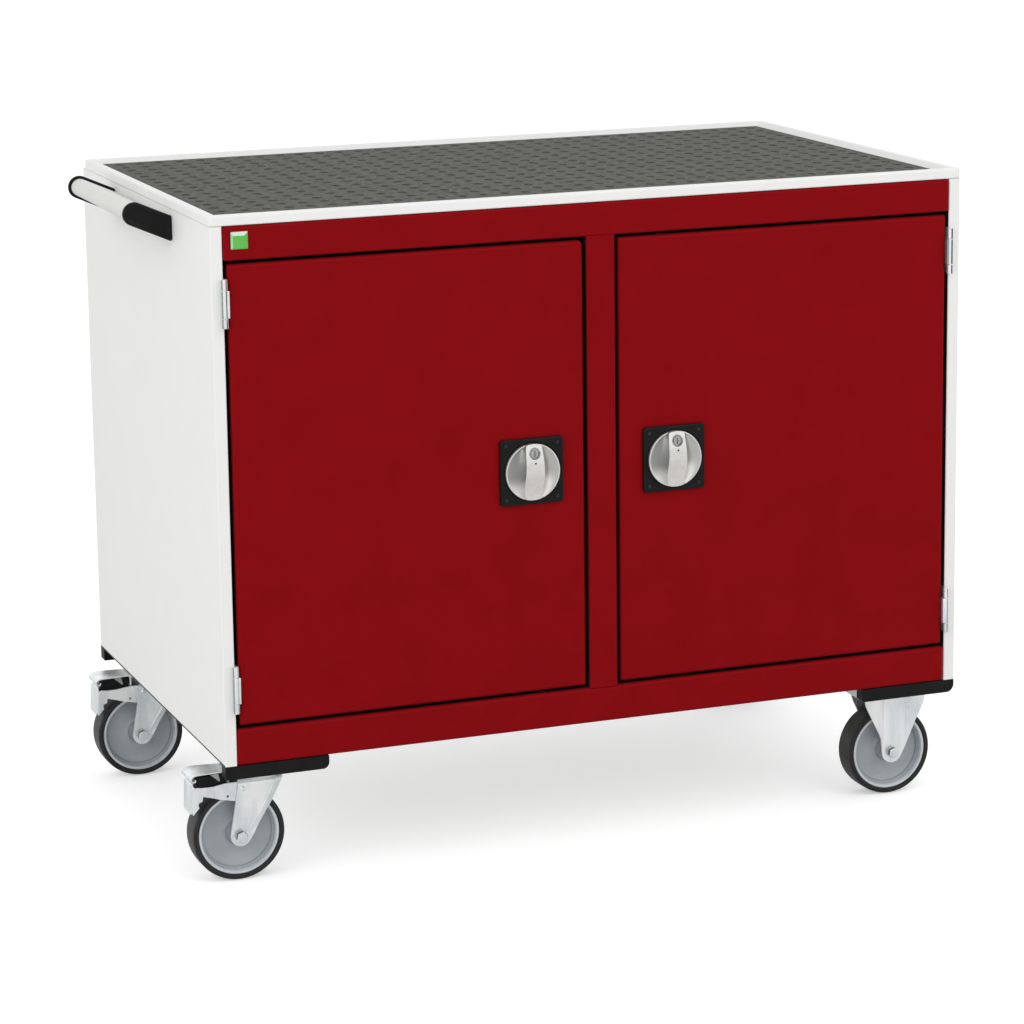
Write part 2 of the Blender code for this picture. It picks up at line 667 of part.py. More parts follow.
def make_lock(ending, side):
    """Escutcheon plate, turning knob with its key cylinder, spindle with cam, and two rods."""
    centre_x = side * LOCK_X
    half = PLATE_SIZE / 2
    inset = half - PLATE_CORNER
    outline = []
    for quarter, (corner_x, corner_y) in enumerate(
        ((inset, inset), (-inset, inset), (-inset, -inset), (inset, -inset))
    ):
        start = quarter * math.pi / 2
        outline += arc((corner_x, corner_y), PLATE_CORNER, start, start + math.pi / 2, 3)
    name = "escutcheon_" + ending
    centre_y = FRONT_FACE - SEAT_GAP - PLATE_THICKNESS / 2
    plate = place(
        name, outline_mesh(name, outline, PLATE_THICKNESS), BLACK_PLASTIC,
        (centre_x, centre_y, LOCK_Z), TURN_TO_FRONT,
    )
    neck_length = NECK_DEPTH + PLATE_THICKNESS / 2
    neck = cylinder_mesh(name + "_neck", NECK_RADIUS, neck_length, axis="Y", sides=WHEEL_SIDES)
    neck_y = FRONT_FACE + NECK_DEPTH - neck_length / 2
    combine(plate, place_tool(neck.name, neck, (centre_x, neck_y, LOCK_Z)), "UNION")
    recess = cylinder_mesh(
        name + "_recess", KNOB_RADIUS + KNOB_SIDE_CLEARANCE, 2 * PLATE_RECESS, axis="Y", sides=KNOB_SIDES
    )
    combine(plate, place_tool(recess.name, recess, (centre_x, PLATE_FRONT, LOCK_Z)), "DIFFERENCE")
    bore_length = 2 * (NECK_DEPTH + PLATE_THICKNESS) + CUT_OVERRUN
    bore = cylinder_mesh(name + "_bore", SPINDLE_RADIUS + RUNNING_GAP, bore_length, axis="Y")
    combine(plate, place_tool(bore.name, bore, (centre_x, FRONT_FACE, LOCK_Z)), "DIFFERENCE")

    name = "lock_knob_" + ending
    profile = [
        (0, KNOB_HEIGHT), (KNOB_RADIUS - KNOB_CHAMFER, KNOB_HEIGHT),
        (KNOB_RADIUS, KNOB_HEIGHT - KNOB_CHAMFER), (KNOB_RADIUS, 0), (0, 0),
    ]
    knob = turned_piece(
        name, profile, SILVER_METAL, (centre_x, KNOB_BACK, LOCK_Z), TURN_TO_FRONT, KNOB_SIDES
    )
    scoop_floor = KNOB_BACK - KNOB_RIM
    scoop_y = scoop_floor - SCOOP_RADIUS
    drop = SCOOP_RADIUS - (KNOB_HEIGHT - KNOB_RIM)
    scoop_x = RIDGE_HALF_WIDTH + math.sqrt(SCOOP_RADIUS ** 2 - drop ** 2)
    for hand in (-1, 1):
        scoop = cylinder_mesh(name + "_scoop", SCOOP_RADIUS, 3 * KNOB_RADIUS, sides=KNOB_SIDES)
        spot = (centre_x + hand * scoop_x, scoop_y, LOCK_Z)
        combine(knob, place_tool(scoop.name, scoop, spot), "DIFFERENCE")
    grip = SPINDLE_GRIP + SEAT_GAP
    socket = cylinder_mesh(name + "_socket", SPINDLE_RADIUS + RUNNING_GAP, 2 * grip, axis="Y")
    combine(knob, place_tool(socket.name, socket, (centre_x, KNOB_BACK, LOCK_Z)), "DIFFERENCE")
    key_z = LOCK_Z + KEY_RAISE
    knob_front = KNOB_BACK - KNOB_HEIGHT
    well = cylinder_mesh(name + "_well", KEY_RADIUS + RUNNING_GAP, 2 * KEY_DEPTH, axis="Y", sides=24)
    combine(knob, place_tool(well.name, well, (centre_x, knob_front, key_z)), "DIFFERENCE")

    name = "key_cylinder_" + ending
    length = KEY_DEPTH - SEAT_GAP + KEY_PROUD
    mesh = cylinder_mesh(name, KEY_RADIUS, length, (0, length / 2, 0), "Y", sides=24)
    cylinder = place(name, mesh, SILVER_METAL, (centre_x, KEY_FRONT, key_z), smooth=True)
    keyway = box_mesh(
        name + "_keyway", (-KEYWAY_WIDTH / 2, -KEYWAY_DEPTH, -KEYWAY_HEIGHT / 2),
        (KEYWAY_WIDTH / 2, KEYWAY_DEPTH, KEYWAY_HEIGHT / 2),
    )
    combine(cylinder, place_tool(keyway.name, keyway, (centre_x, KEY_FRONT, key_z)), "DIFFERENCE")

    name = "latch_spindle_" + ending
    cam_rear = FRONT_FACE + CAM_SETBACK + CAM_THICKNESS
    cam_mesh = cylinder_mesh(
        name, CAM_RADIUS, CAM_THICKNESS, (0, -CAM_THICKNESS / 2, 0), "Y", sides=24
    )
    cam = place(name, cam_mesh, ZINC_STEEL, (centre_x, cam_rear, LOCK_Z), smooth=True)
    shaft_length = cam_rear - KNOB_BACK + SPINDLE_GRIP
    shaft = cylinder_mesh(name + "_shaft", SPINDLE_RADIUS, shaft_length, (0, -shaft_length / 2, 0), "Y")
    combine(cam, place_tool(shaft.name, shaft, (centre_x, cam_rear, LOCK_Z)), "UNION")

    for word, end in (("upper", 1), ("lower", -1)):
        name = "lock_rod_" + word + "_" + ending
        reach = DOOR_TOP - LOCK_Z
        low, high = sorted((end * ROD_START, end * reach))
        mesh = box_mesh(
            name, (-ROD_WIDTH / 2, 0, low), (ROD_WIDTH / 2, ROD_THICKNESS, high)
        )
        place(name, mesh, ZINC_STEEL, (centre_x - end * ROD_OFFSET, ROD_FRONT, LOCK_Z))


def make_doors():
    """Both doors with their hinges and locks."""
    for word, side in (("left", -1), ("right", 1)):
        make_door("door_" + word, side)
        make_hinge(word + "_upper", side, DOOR_TOP - HINGE_INSET - HINGE_LENGTH)
        make_hinge(word + "_lower", side, DOOR_BOTTOM + HINGE_INSET)
        make_lock(word, side)


def make_handle():
    """The wrapped sheet handle on the left side, closed at both ends by a cap."""
    slope = HANDLE_SLOPE
    radius = HANDLE_NOSE_RADIUS
    at_wall = radius / math.cos(slope)
    nose = (-HANDLE_ARM, HANDLE_CENTRE_RISE)
    start = math.pi / 2 - slope
    nose_arc = arc(nose, radius, start, start + math.pi)
    lower_tangent = nose_arc[-1]
    lip = (
        lower_tangent[0] + HANDLE_RETURN * math.cos(slope),
        lower_tangent[1] - HANDLE_RETURN * math.sin(slope),
    )
    wall_x = -HALF_WIDTH - SEAT_GAP
    level = BODY_TOP - HANDLE_DROP

    sheet_path = [(0, at_wall - HANDLE_FLANGE), (0, at_wall)] + nose_arc + [lip]
    length = HANDLE_LENGTH - 2 * (HANDLE_CAP + SEAT_GAP)
    folded_sheet(
        "push_handle", sheet_path, length, GREY_PAINT, (wall_x, length / 2, level), TURN_TO_FRONT,
        HANDLE_SHEET,
    )

    cap_outline = [(0, -at_wall), (0, at_wall)] + nose_arc
    for word, end in (("front", -1), ("rear", 1)):
        name = "handle_cap_" + word
        place_y = end * (HANDLE_LENGTH - HANDLE_CAP) / 2
        place(
            name, outline_mesh(name, cap_outline, HANDLE_CAP), BLACK_PLASTIC,
            (wall_x, place_y, level), TURN_TO_FRONT,
        )


def make_channels():
    """A castor channel under each end of the cabinet, with a moulded cap at its ends."""
    base = CASTOR_HEIGHT
    height = BODY_BASE - base
    for word, side in (("left", -1), ("right", 1)):
        outer = HALF_WIDTH - CHANNEL_INSET
        inner = HALF_WIDTH - CAP_WIDTH
        low_x, high_x = sorted((side * outer, side * inner))
        path = [(low_x, height), (low_x, 0), (high_x, 0), (high_x, height)]
        length = BODY_DEPTH - 2 * (CAP_DEPTH + SEAT_GAP)
        folded_sheet(
            "castor_channel_" + word, path, length, GREY_PAINT, (0, length / 2, base),
            TURN_TO_FRONT, CHANNEL_SHEET,
        )
        low_x, high_x = sorted((side * HALF_WIDTH, side * inner))
        outline = [(high_x, height), (low_x, height)]
        outline += arc((low_x + CAP_CORNER, CAP_CORNER), CAP_CORNER, math.pi, 1.5 * math.pi, 4)
        outline += arc((high_x - CAP_CORNER, CAP_CORNER), CAP_CORNER, 1.5 * math.pi, 2 * math.pi, 4)
        for place_word, end in (("front", -1), ("rear", 1)):
            name = "channel_cap_" + place_word + "_" + word
            place_y = end * (HALF_DEPTH - CAP_DEPTH / 2)
            place(
                name, outline_mesh(name, outline, CAP_DEPTH), BLACK_PLASTIC, (0, place_y, base),
                TURN_TO_FRONT,
            )


def make_wheel(ending, location):
    """A dished hub in a rubber tyre, both turned round the axle."""
    rim_radius = WHEEL_RADIUS - TYRE_THICKNESS
    half = TYRE_WIDTH / 2
    shoulder = TYRE_SHOULDER
    tread = [
        (rim_radius, half), (WHEEL_RADIUS - shoulder, half), (WHEEL_RADIUS, half - shoulder),
        (WHEEL_RADIUS, shoulder - half), (WHEEL_RADIUS - shoulder, -half), (rim_radius, -half),
    ]
    turned_piece("tyre_" + ending, tread, TYRE_RUBBER, location, TURN_TO_FRONT, WHEEL_SIDES)

    outer = rim_radius - SEAT_GAP
    inner = outer - HUB_RIM
    bore = AXLE_RADIUS + RUNNING_GAP
    side = [
        (bore, HUB_BOSS_WIDTH / 2), (HUB_BOSS_RADIUS, HUB_BOSS_WIDTH / 2),
        (HUB_BOSS_RADIUS, HUB_WEB / 2), (inner - HUB_SLOPE, HUB_WEB / 2),
        (inner, HUB_RIM_WIDTH / 2), (outer, HUB_RIM_WIDTH / 2),
    ]
    profile = side + [(radius, -height) for radius, height in reversed(side)]
    turned_piece("wheel_hub_" + ending, profile, HUB_PLASTIC, location, TURN_TO_FRONT, WHEEL_SIDES)


def add_axle(fork, name, spot):
    """Joins the axle bolt with its head and nut to a fork."""
    outer_half = FORK_INNER_HALF + FORK_SHEET
    bolt = cylinder_mesh(name + "_axle", AXLE_RADIUS, 2 * (outer_half + AXLE_END), axis="Y")
    combine(fork, place_tool(bolt.name, bolt, spot), "UNION")
    for end in (-1, 1):
        offset = end * (outer_half + NUT_THICKNESS / 2 - SEAT_GAP)
        nut = cylinder_mesh(name + "_nut", NUT_RADIUS, NUT_THICKNESS, (0, offset, 0), "Y", sides=6)
        combine(fork, place_tool(nut.name, nut, spot), "UNION")


def make_fork_legs(name, outline, spot, origin):
    """The near leg as the fork's object, with the far leg joined to it later."""
    offset = FORK_INNER_HALF + FORK_SHEET / 2
    mesh = outline_mesh(name, outline, FORK_SHEET)
    mesh.transform(Matrix.Rotation(math.pi / 2, 4, "X"))
    far = mesh.copy()
    mesh.transform(Matrix.Translation(Vector(spot) - Vector(origin) + Vector((0, -offset, 0))))
    fork = place(name, mesh, ZINC_STEEL, origin)
    return fork, place_tool(name + "_far_leg", far, Vector(spot) + Vector((0, offset, 0)))


def make_swivel_castor(word, end):
    """A braked swivel castor: top plate, fork on its race, pedal and trailing wheel."""
    axis = (-CASTOR_X, end * CASTOR_Y, 0)
    name = "swivel_plate_" + word
    half_x, half_y = TOP_PLATE_LENGTH / 2, TOP_PLATE_WIDTH / 2
    under = PLATE_TOP - TOP_PLATE_THICKNESS
    plate = place(
        name, box_mesh(name, (-half_x, -half_y, under), (half_x, half_y, PLATE_TOP)), ZINC_STEEL, axis
    )
    race_height = RACE_DEPTH + TOP_PLATE_THICKNESS / 2
    race = cylinder_mesh(
        name + "_race", RACE_RADIUS, race_height, (0, 0, under - RACE_DEPTH + race_height / 2),
        sides=WHEEL_SIDES,
    )
    combine(plate, place_tool(race.name, race, axis), "UNION")

    name = "swivel_fork_" + word
    wheel_spot = (axis[0] - TRAIL, axis[1], WHEEL_RADIUS)
    points = shared_points(SWIVEL_LEG_SHARES, SWIVEL_LEG_REACH, LEG_RISE)
    outline = footed_outline(SWIVEL_FOOT_RADIUS, points)
    fork, far_leg = make_fork_legs(name, outline, wheel_spot, axis)
    combine(fork, far_leg, "UNION")
    web_low = SWIVEL_LEG_SHARES[-1][0] * SWIVEL_LEG_REACH + SEAT_GAP
    web_high = SWIVEL_LEG_REACH - SEAT_GAP
    web_half = FORK_INNER_HALF + FORK_SHEET / 2
    web = box_mesh(
        name + "_web", (web_low, -web_half, LEG_RISE - FORK_SHEET - SEAT_GAP),
        (web_high, web_half, LEG_RISE - SEAT_GAP),
    )
    combine(fork, place_tool(web.name, web, wheel_spot), "UNION")
    crown_low = LEG_TOP - FORK_SHEET / 2 - SEAT_GAP
    crown = cylinder_mesh(
        name + "_crown", CROWN_RADIUS, CROWN_TOP - crown_low, (0, 0, (CROWN_TOP + crown_low) / 2),
        sides=WHEEL_SIDES,
    )
    combine(fork, place_tool(crown.name, crown, axis), "UNION")
    add_axle(fork, name, wheel_spot)

    name = "brake_pedal_" + word
    pivot = (wheel_spot[0] + PEDAL_PIVOT_AHEAD, axis[1], WHEEL_RADIUS + PEDAL_PIVOT_RISE)
    pad = [
        (x - PEDAL_PIVOT_AHEAD, z - PEDAL_PIVOT_RISE)
        for x, z in shared_points(PEDAL_PAD_SHARES, PEDAL_REACH, PEDAL_RISE)
    ]
    pedal = folded_sheet(
        name, pad, 2 * PEDAL_HALF_WIDTH, ZINC_STEEL, pivot, TURN_TO_FRONT, PEDAL_SHEET
    )
    pedal.data.transform(Matrix.Translation((0, 0, -PEDAL_HALF_WIDTH)))
    arm = [
        (x - PEDAL_PIVOT_AHEAD, z - PEDAL_PIVOT_RISE)
        for x, z in shared_points(PEDAL_ARM_SHARES, PEDAL_REACH, PEDAL_RISE)
    ]
    for hand in (-1, 1):
        mesh = outline_mesh(name + "_arm", arm, PEDAL_ARM_SHEET)
        offset = hand * (PEDAL_HALF_WIDTH - PEDAL_ARM_SHEET / 2)
        tool = place_tool(mesh.name, mesh, (pivot[0], pivot[1] + offset, pivot[2]), TURN_TO_FRONT)
        combine(pedal, tool, "UNION")

    make_wheel(word, wheel_spot)


def make_fixed_castor(word, end):
    """A fixed castor: one pressed fork with its top plate, and the wheel."""
    axis = (CASTOR_X, end * CASTOR_Y, 0)
    wheel_spot = (axis[0], axis[1], WHEEL_RADIUS)
    name = "fixed_fork_" + word
    points = shared_points(FIXED_LEG_SHARES, FIXED_LEG_REACH, FIXED_LEG_RISE - SEAT_GAP)
    outline = footed_outline(FIXED_FOOT_RADIUS, points)
    fork, far_leg = make_fork_legs(name, outline, wheel_spot, axis)
    combine(fork, far_leg, "UNION")
    half_x, half_y = TOP_PLATE_LENGTH / 2, TOP_PLATE_WIDTH / 2
    under = PLATE_TOP - TOP_PLATE_THICKNESS
    plate = box_mesh(name + "_plate", (-half_x, -half_y, under), (half_x, half_y, PLATE_TOP))
    combine(fork, place_tool(plate.name, plate, axis), "UNION")
    add_axle(fork, name, wheel_spot)
    make_wheel(word, wheel_spot)


def make_castors():
    """Braked swivel castors under the handle's end, fixed castors under the other."""
    for word, end in (("front", -1), ("rear", 1)):
        make_swivel_castor(word + "_left", end)
        make_fixed_castor(word + "_right", end)


make_shell()
make_front_frame()
make_shelf("shelf_left", -1, SHEET / 2 + SEAT_GAP)
make_shelf("shelf_right", 1, PARTITION_FLANGE - SHEET / 2 + SEAT_GAP)
make_top()
make_badge()
make_doors()
make_handle()
make_channels()
make_castors()
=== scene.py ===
import math

import bmesh
import bpy
from mathutils import Matrix, Vector


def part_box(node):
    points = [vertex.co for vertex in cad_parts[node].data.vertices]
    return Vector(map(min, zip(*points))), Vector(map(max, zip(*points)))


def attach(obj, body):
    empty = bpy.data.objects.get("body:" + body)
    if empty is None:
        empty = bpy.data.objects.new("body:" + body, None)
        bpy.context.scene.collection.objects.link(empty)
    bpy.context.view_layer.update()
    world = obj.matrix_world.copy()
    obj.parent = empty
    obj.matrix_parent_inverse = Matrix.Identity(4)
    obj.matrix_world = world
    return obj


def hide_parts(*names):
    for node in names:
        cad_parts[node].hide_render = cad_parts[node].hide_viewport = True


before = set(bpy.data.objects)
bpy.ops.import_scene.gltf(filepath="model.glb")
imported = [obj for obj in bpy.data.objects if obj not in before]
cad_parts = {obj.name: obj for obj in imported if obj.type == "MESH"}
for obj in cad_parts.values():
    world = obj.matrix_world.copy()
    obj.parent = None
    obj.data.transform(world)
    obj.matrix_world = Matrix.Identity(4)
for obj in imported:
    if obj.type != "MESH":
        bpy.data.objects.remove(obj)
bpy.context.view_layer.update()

MM = 0.001
SCENE = bpy.context.scene

# Sheet and gaps, in metres
SHEET = 1.2 * MM
BEND = 2.0 * MM
SEAT_GAP = 0.3 * MM

# How far behind the front the painted shade of the gaps starts on the red sheets
GAP_SHADE_START = 5.5 * MM

# A castor fork's sheet, and half its width
FORK_SHEET, FORK_HALF = 3 * MM, 26.5 * MM

# A lock knob's rim above its back, and its grip above its rim
KNOB_RIM, KNOB_GRIP = 4.3 * MM, 10.0 * MM

# The span of the noise over which a material's patches turn from dark to light
PATCH_SPAN = 0.3, 0.7

# The camera's place in metres, its yaw, pitch and roll in degrees, its lens in mm and its shift
CAMERA_PLACE, CAMERA_TURN = (-1.6498, -4.4333, 1.4879), (20.695, 11.300, -0.758)
CAMERA_LENS, CAMERA_SHIFT = 121.51, -0.0996

# Ways that a piece's own plane can face: its x, y and outward level in the object's frame
FACING = {
    "front": Matrix(((1, 0, 0), (0, 0, -1), (0, 1, 0))).to_4x4(),
    "back": Matrix(((-1, 0, 0), (0, 0, 1), (0, 1, 0))).to_4x4(),
    "up": Matrix.Identity(4),
}


# Materials

def from_hex(code):
    """The linear colour of an sRGB hex code."""
    parts = [int(code[index:index + 2], 16) / 255 for index in (1, 3, 5)]
    return tuple(p / 12.92 if p <= 0.04045 else ((p + 0.055) / 1.055) ** 2.4 for p in parts) + (1,)


def add_node(tree, kind, settings=None, inputs=None):
    """Adds a node, sets its properties, and fills or links its inputs by name or number."""
    node = tree.nodes.new(kind)
    for key, value in (settings or {}).items():
        setattr(node, key, value)
    for key, value in (inputs or {}).items():
        if isinstance(value, bpy.types.NodeSocket):
            tree.links.new(value, node.inputs[key])
        else:
            node.inputs[key].default_value = value
    return node


def start_material(name, roughness, metallic=0.0, specular=0.5):
    """A material with its Principled shader, and its Object coordinates."""
    material = bpy.data.materials.new(name)
    material.use_nodes = True
    tree = material.node_tree
    shader = tree.nodes["Principled BSDF"]
    shader.inputs["Roughness"].default_value = roughness
    shader.inputs["Metallic"].default_value = metallic
    shader.inputs["Specular IOR Level"].default_value = specular
    spot = add_node(tree, "ShaderNodeTexCoord").outputs["Object"]
    return material, tree, shader, spot


def tint_and_grain(tree, shader, spot, dark, light, patch_mm, grain_mm, depth_mm, rough_span):
    """Colour and gloss that drift over patches of one size, with a bump of a finer grain.

    The grain of moulded, cast, plated and rubber pieces is a tenth to a third of a millimetre in
    truth. That is too fine to show, so it is drawn as coarse as it needs to show. The powder
    coat's orange peel has its real size.
    """
    patch = add_node(tree, "ShaderNodeTexNoise", inputs={
        "Vector": spot, "Scale": 1 / (patch_mm * MM), "Detail": 3.0, "Roughness": 0.55,
    })
    ramp = add_node(tree, "ShaderNodeValToRGB", inputs={"Fac": patch.outputs["Fac"]})
    stops = ramp.color_ramp.elements
    stops[0].position, stops[1].position = PATCH_SPAN
    stops[0].color, stops[1].color = from_hex(dark), from_hex(light)
    tree.links.new(ramp.outputs["Color"], shader.inputs["Base Color"])
    gloss = add_node(tree, "ShaderNodeMapRange", inputs={
        "Value": patch.outputs["Fac"], "From Min": PATCH_SPAN[0], "From Max": PATCH_SPAN[1],
        "To Min": rough_span[0], "To Max": rough_span[1],
    })
    tree.links.new(gloss.outputs["Result"], shader.inputs["Roughness"])
    grain = add_node(tree, "ShaderNodeTexNoise", inputs={
        "Vector": spot, "Scale": 1 / (grain_mm * MM), "Detail": 2.0,
    })
    bump = add_node(tree, "ShaderNodeBump", inputs={
        "Height": grain.outputs["Fac"], "Strength": 1.0, "Distance": depth_mm * MM,
    })
    tree.links.new(bump.outputs["Normal"], shader.inputs["Normal"])
    return stops


def make_powder_coat(name, dark, light, specular):
    """Steel sheet under baked polyester powder: even colour, half gloss, faint orange peel."""
    material, tree, shader, spot = start_material(name, 0.5, specular=specular)
    tint_and_grain(tree, shader, spot, dark, light, 60, 1.6, 0.012, (0.46, 0.54))
    return material


def make_moulded(name, dark, light, roughness, specular, grain_mm=0.9, depth_mm=0.02):
    """Injection-moulded plastic: a fine spark-eroded grain that spreads the gloss."""
    material, tree, shader, spot = start_material(name, roughness, specular=specular)
    tint_and_grain(
        tree, shader, spot, dark, light, 25, grain_mm, depth_mm, (roughness - 0.05, roughness + 0.05)
    )
    return material


def make_zinc():
    """Pressed steel, zinc plated and blue passivated: a cool sheen in clouds drawn out by the press."""
    material, tree, shader, spot = start_material("zinc_plated_steel", 0.34, metallic=0.75)
    drawn = add_node(tree, "ShaderNodeMapping", inputs={"Vector": spot, "Scale": (1, 1, 0.3)})
    stops = tint_and_grain(
        tree, shader, drawn.outputs["Vector"], "#D7DFE2", "#F5F7F7", 30, 1.2, 0.008, (0.24, 0.38)
    )
    stops[0].position, stops[1].position = 0.36, 0.62
    return material


def make_darker_zinc(name, dark, light):
    """Zinc plate drawn darker: rubbed dull on the brake spring, and painted shade and painted reflection
    on the hinges and nuts.
    """
    material, tree, shader, spot = start_material(name, 0.34, metallic=0.7)
    tint_and_grain(tree, shader, spot, dark, light, 6, 0.8, 0.012, (0.28, 0.42))
    return material


def make_die_cast(name, dark, light, roughness):
    """Zinc die casting with a satin silver finish: fine matt blast under a soft sheen."""
    material, tree, shader, spot = start_material(name, roughness, metallic=0.75)
    tint_and_grain(
        tree, shader, spot, dark, light, 9, 0.5, 0.006, (roughness - 0.04, roughness + 0.05)
    )
    return material


def make_scoop_metal_with_painted_shade():
    """The knob's scoops: satin die-cast zinc with painted shade and a painted highlight, its colour
    running from light to dark along an attribute on the mesh.
    """
    material, tree, shader, spot = start_material("die_cast_zinc_with_painted_shade", 0.34, metallic=0.75)
    tint_and_grain(tree, shader, spot, "#B4B5B1", "#BEBFBB", 9, 0.5, 0.006, (0.30, 0.40))
    # The painted shade and highlight of the scoops, read from an attribute on the knob's points
    depth = add_node(tree, "ShaderNodeAttribute", {"attribute_name": "scoop_shade_paint"})
    shade = add_node(tree, "ShaderNodeValToRGB", inputs={"Fac": depth.outputs["Fac"]})
    shade.color_ramp.elements[0].color = from_hex("#E9E9E6")
    shade.color_ramp.elements[1].color = from_hex("#5E5F5B")
    tree.links.new(shade.outputs["Color"], shader.inputs["Base Color"])
    return material


def make_rubber(name, dark, light, roughness, patch_mm):
    """Vulcanised rubber: dull, with a bloom of dust that lightens it in soft patches."""
    material, tree, shader, spot = start_material(name, roughness, specular=0.25)
    tint_and_grain(
        tree, shader, spot, dark, light, patch_mm, 0.8, 0.03, (roughness - 0.06, roughness + 0.06)
    )
    return material


GREY_PAINT = make_powder_coat("light_grey_powder_coat", "#E8E8E6", "#EAEAE8", 0.30)
# A darker copy of the grey powder coat: painted shade on the handle's sheet
HANDLE_PAINT_SHADED = make_powder_coat("grey_powder_coat_with_painted_shade_on_handle", "#D5D5D1", "#DADAD6", 0.30)
RED_PAINT = make_powder_coat("red_powder_coat", "#7F050B", "#85060D", 0.05)
BLACK_ABS = make_moulded("black_moulded_abs", "#101110", "#161716", 0.42, 0.13)
PLUG_ABS = make_moulded("polished_black_abs", "#161817", "#1D1F1E", 0.34, 0.35)
# Black, as painted shade in the gaps round the doors and frame
GAP_SHADE_RUBBER = make_rubber("black_rubber_painted_shade_in_gaps", "#0C0D0C", "#121312", 0.9, 12)
GREEN_PLASTIC = make_moulded("green_moulded_acrylic", "#55B342", "#5DBA4A", 0.12, 0.5, 4.0, 0.002)
GREEN_PLASTIC.node_tree.nodes["Principled BSDF"].inputs["Coat Weight"].default_value = 0.6
# Painted highlights for the badge's bevel: pale on its upper faces, lighter green on its left faces
BADGE_TOP_PAINTED_HIGHLIGHT = make_moulded("badge_bevel_top_painted_highlight", "#BCD4BE", "#D8E6DA", 0.08, 0.6, 4.0, 0.002)
BADGE_LEFT_PAINTED_HIGHLIGHT = make_moulded("badge_bevel_left_painted_highlight", "#86CDA0", "#A4DBB4", 0.08, 0.6, 4.0, 0.002)
HUB_NYLON = make_moulded("grey_moulded_nylon", "#A0A6AA", "#ABB1B5", 0.36, 0.35)
# Glossier nylon for the raised rim ring, its lighter colour a painted highlight
HUB_RIM_PAINTED_HIGHLIGHT = make_moulded("polished_nylon_rim_with_painted_highlight", "#C3C9CE", "#D0D5D9", 0.3, 0.5)
# Painted shade for the hub's recesses
HUB_PAINTED_SHADE = make_moulded("nylon_with_painted_shade_in_grooves", "#868C90", "#92989C", 0.5, 0.3)
ZINC = make_zinc()
# Darker zinc: worn on the brake spring, painted shade and painted reflection on the hinges and nuts
WORN_AND_SHADED_ZINC = make_darker_zinc("zinc_rubbed_dull_and_painted_shade", "#8D9494", "#A3AAAA")
ZINC_PAINTED_SHADE = make_darker_zinc("zinc_with_painted_shade", "#4C5352", "#606867")
HINGE_METALS = [ZINC, WORN_AND_SHADED_ZINC, ZINC_PAINTED_SHADE]
SILVER = make_die_cast("satin_die_cast_zinc", "#D3D3D0", "#DDDCD9", 0.30)
# Satin die-cast zinc with painted shade and a painted highlight, for the knobs' scoops
SILVER_SCOOP_PAINTED_SHADE = make_scoop_metal_with_painted_shade()
KEY_METAL = make_die_cast("nickel_plated_brass", "#A2A3A0", "#B4B5B2", 0.26)
MAT_RUBBER = make_rubber("moulded_mat_rubber", "#2D2E28", "#65665E", 0.75, 8)
# Darker rubber as painted shade in the mat's dimples
MAT_DIMPLE_SHADE = make_rubber("mat_rubber_with_painted_shade_in_dimples", "#2B2C28", "#46473F", 0.85, 9)
TYRE_SIDE = make_rubber("tyre_rubber_moulded_side", "#1F201F", "#282928", 0.6, 12)
TYRE_TREAD = make_rubber("tyre_rubber_rolled_tread", "#272725", "#403F3C", 0.45, 6)


# Mesh making

def mm(*points):
    """Points given in millimetres, in metres."""
    return [tuple(value * MM for value in point) for point in points]


def listed(value, count=1):
    """A list or tuple as it is, or one value repeated into a list."""
    return value if isinstance(value, (list, tuple)) else [value] * count


def box_of(node):
    """A CAD node's lowest corner, highest corner, middle and size."""
    low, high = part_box(node)
    return low, high, (low + high) / 2, high - low


def at(x, y, z, facing="up"):
    """A piece's own frame: its place, and the way it faces."""
    return Matrix.Translation((x, y, z)) @ FACING[facing]


def settle(piece):
    """Applies a piece's modifiers, so that it ends as a plain mesh."""
    bpy.context.view_layer.update()
    depsgraph = bpy.context.evaluated_depsgraph_get()
    mesh = bpy.data.meshes.new_from_object(piece.evaluated_get(depsgraph))
    piece.modifiers.clear()
    old, piece.data = piece.data, mesh
    bpy.data.meshes.remove(old)
    return piece


def as_piece(name, shape, materials, place=None):
    """Turns a bmesh into an object whose place is in its mesh, with faces outwards."""
    bmesh.ops.remove_doubles(shape, verts=shape.verts, dist=0.004 * MM)
    bmesh.ops.recalc_face_normals(shape, faces=shape.faces)
    mesh = bpy.data.meshes.new(name)
    shape.to_mesh(mesh)
    shape.free()
    if place is not None:
        mesh.transform(place)
    for material in listed(materials):
        mesh.materials.append(material)
    piece = bpy.data.objects.new(name, mesh)
    SCENE.collection.objects.link(piece)
    return piece


def slab(name, low, high, materials, place=None):
    """A box between two corners, as a piece."""
    return as_piece(name, block_shape(low, high), materials, place)


def turned(name, profile, sides, materials, place=None, ring=False):
    """A piece turned round Z from (radius, level) points; a ring has a hole through it."""
    return as_piece(name, turn_profile(profile, sides, ring), materials, place)


def combine(main, parts, operation):
    """Cuts parts out of a piece or unites them with it, and removes them."""
    for part in parts:
        modifier = main.modifiers.new("combine", "BOOLEAN")
        modifier.operation = operation
        modifier.solver = "EXACT"
        modifier.object = part
    settle(main)
    for part in parts:
        bpy.data.objects.remove(part, do_unlink=True)
    return main


def cut(piece, *tools):
    """Cuts the tools' shapes out of a piece."""
    return combine(piece, tools, "DIFFERENCE")


def round_edges(piece, radius, segments=3, angle=35):
    """Rounds the edges sharper than an angle."""
    bevel = piece.modifiers.new("edge", "BEVEL")
    bevel.width = radius
    bevel.segments = segments
    bevel.limit_method = "ANGLE"
    bevel.angle_limit = math.radians(angle)
    bevel.harden_normals = False
    return settle(piece)


def join(main, parts):
    """Joins parts on to a piece by uniting their solids."""
    return combine(main, parts, "UNION")


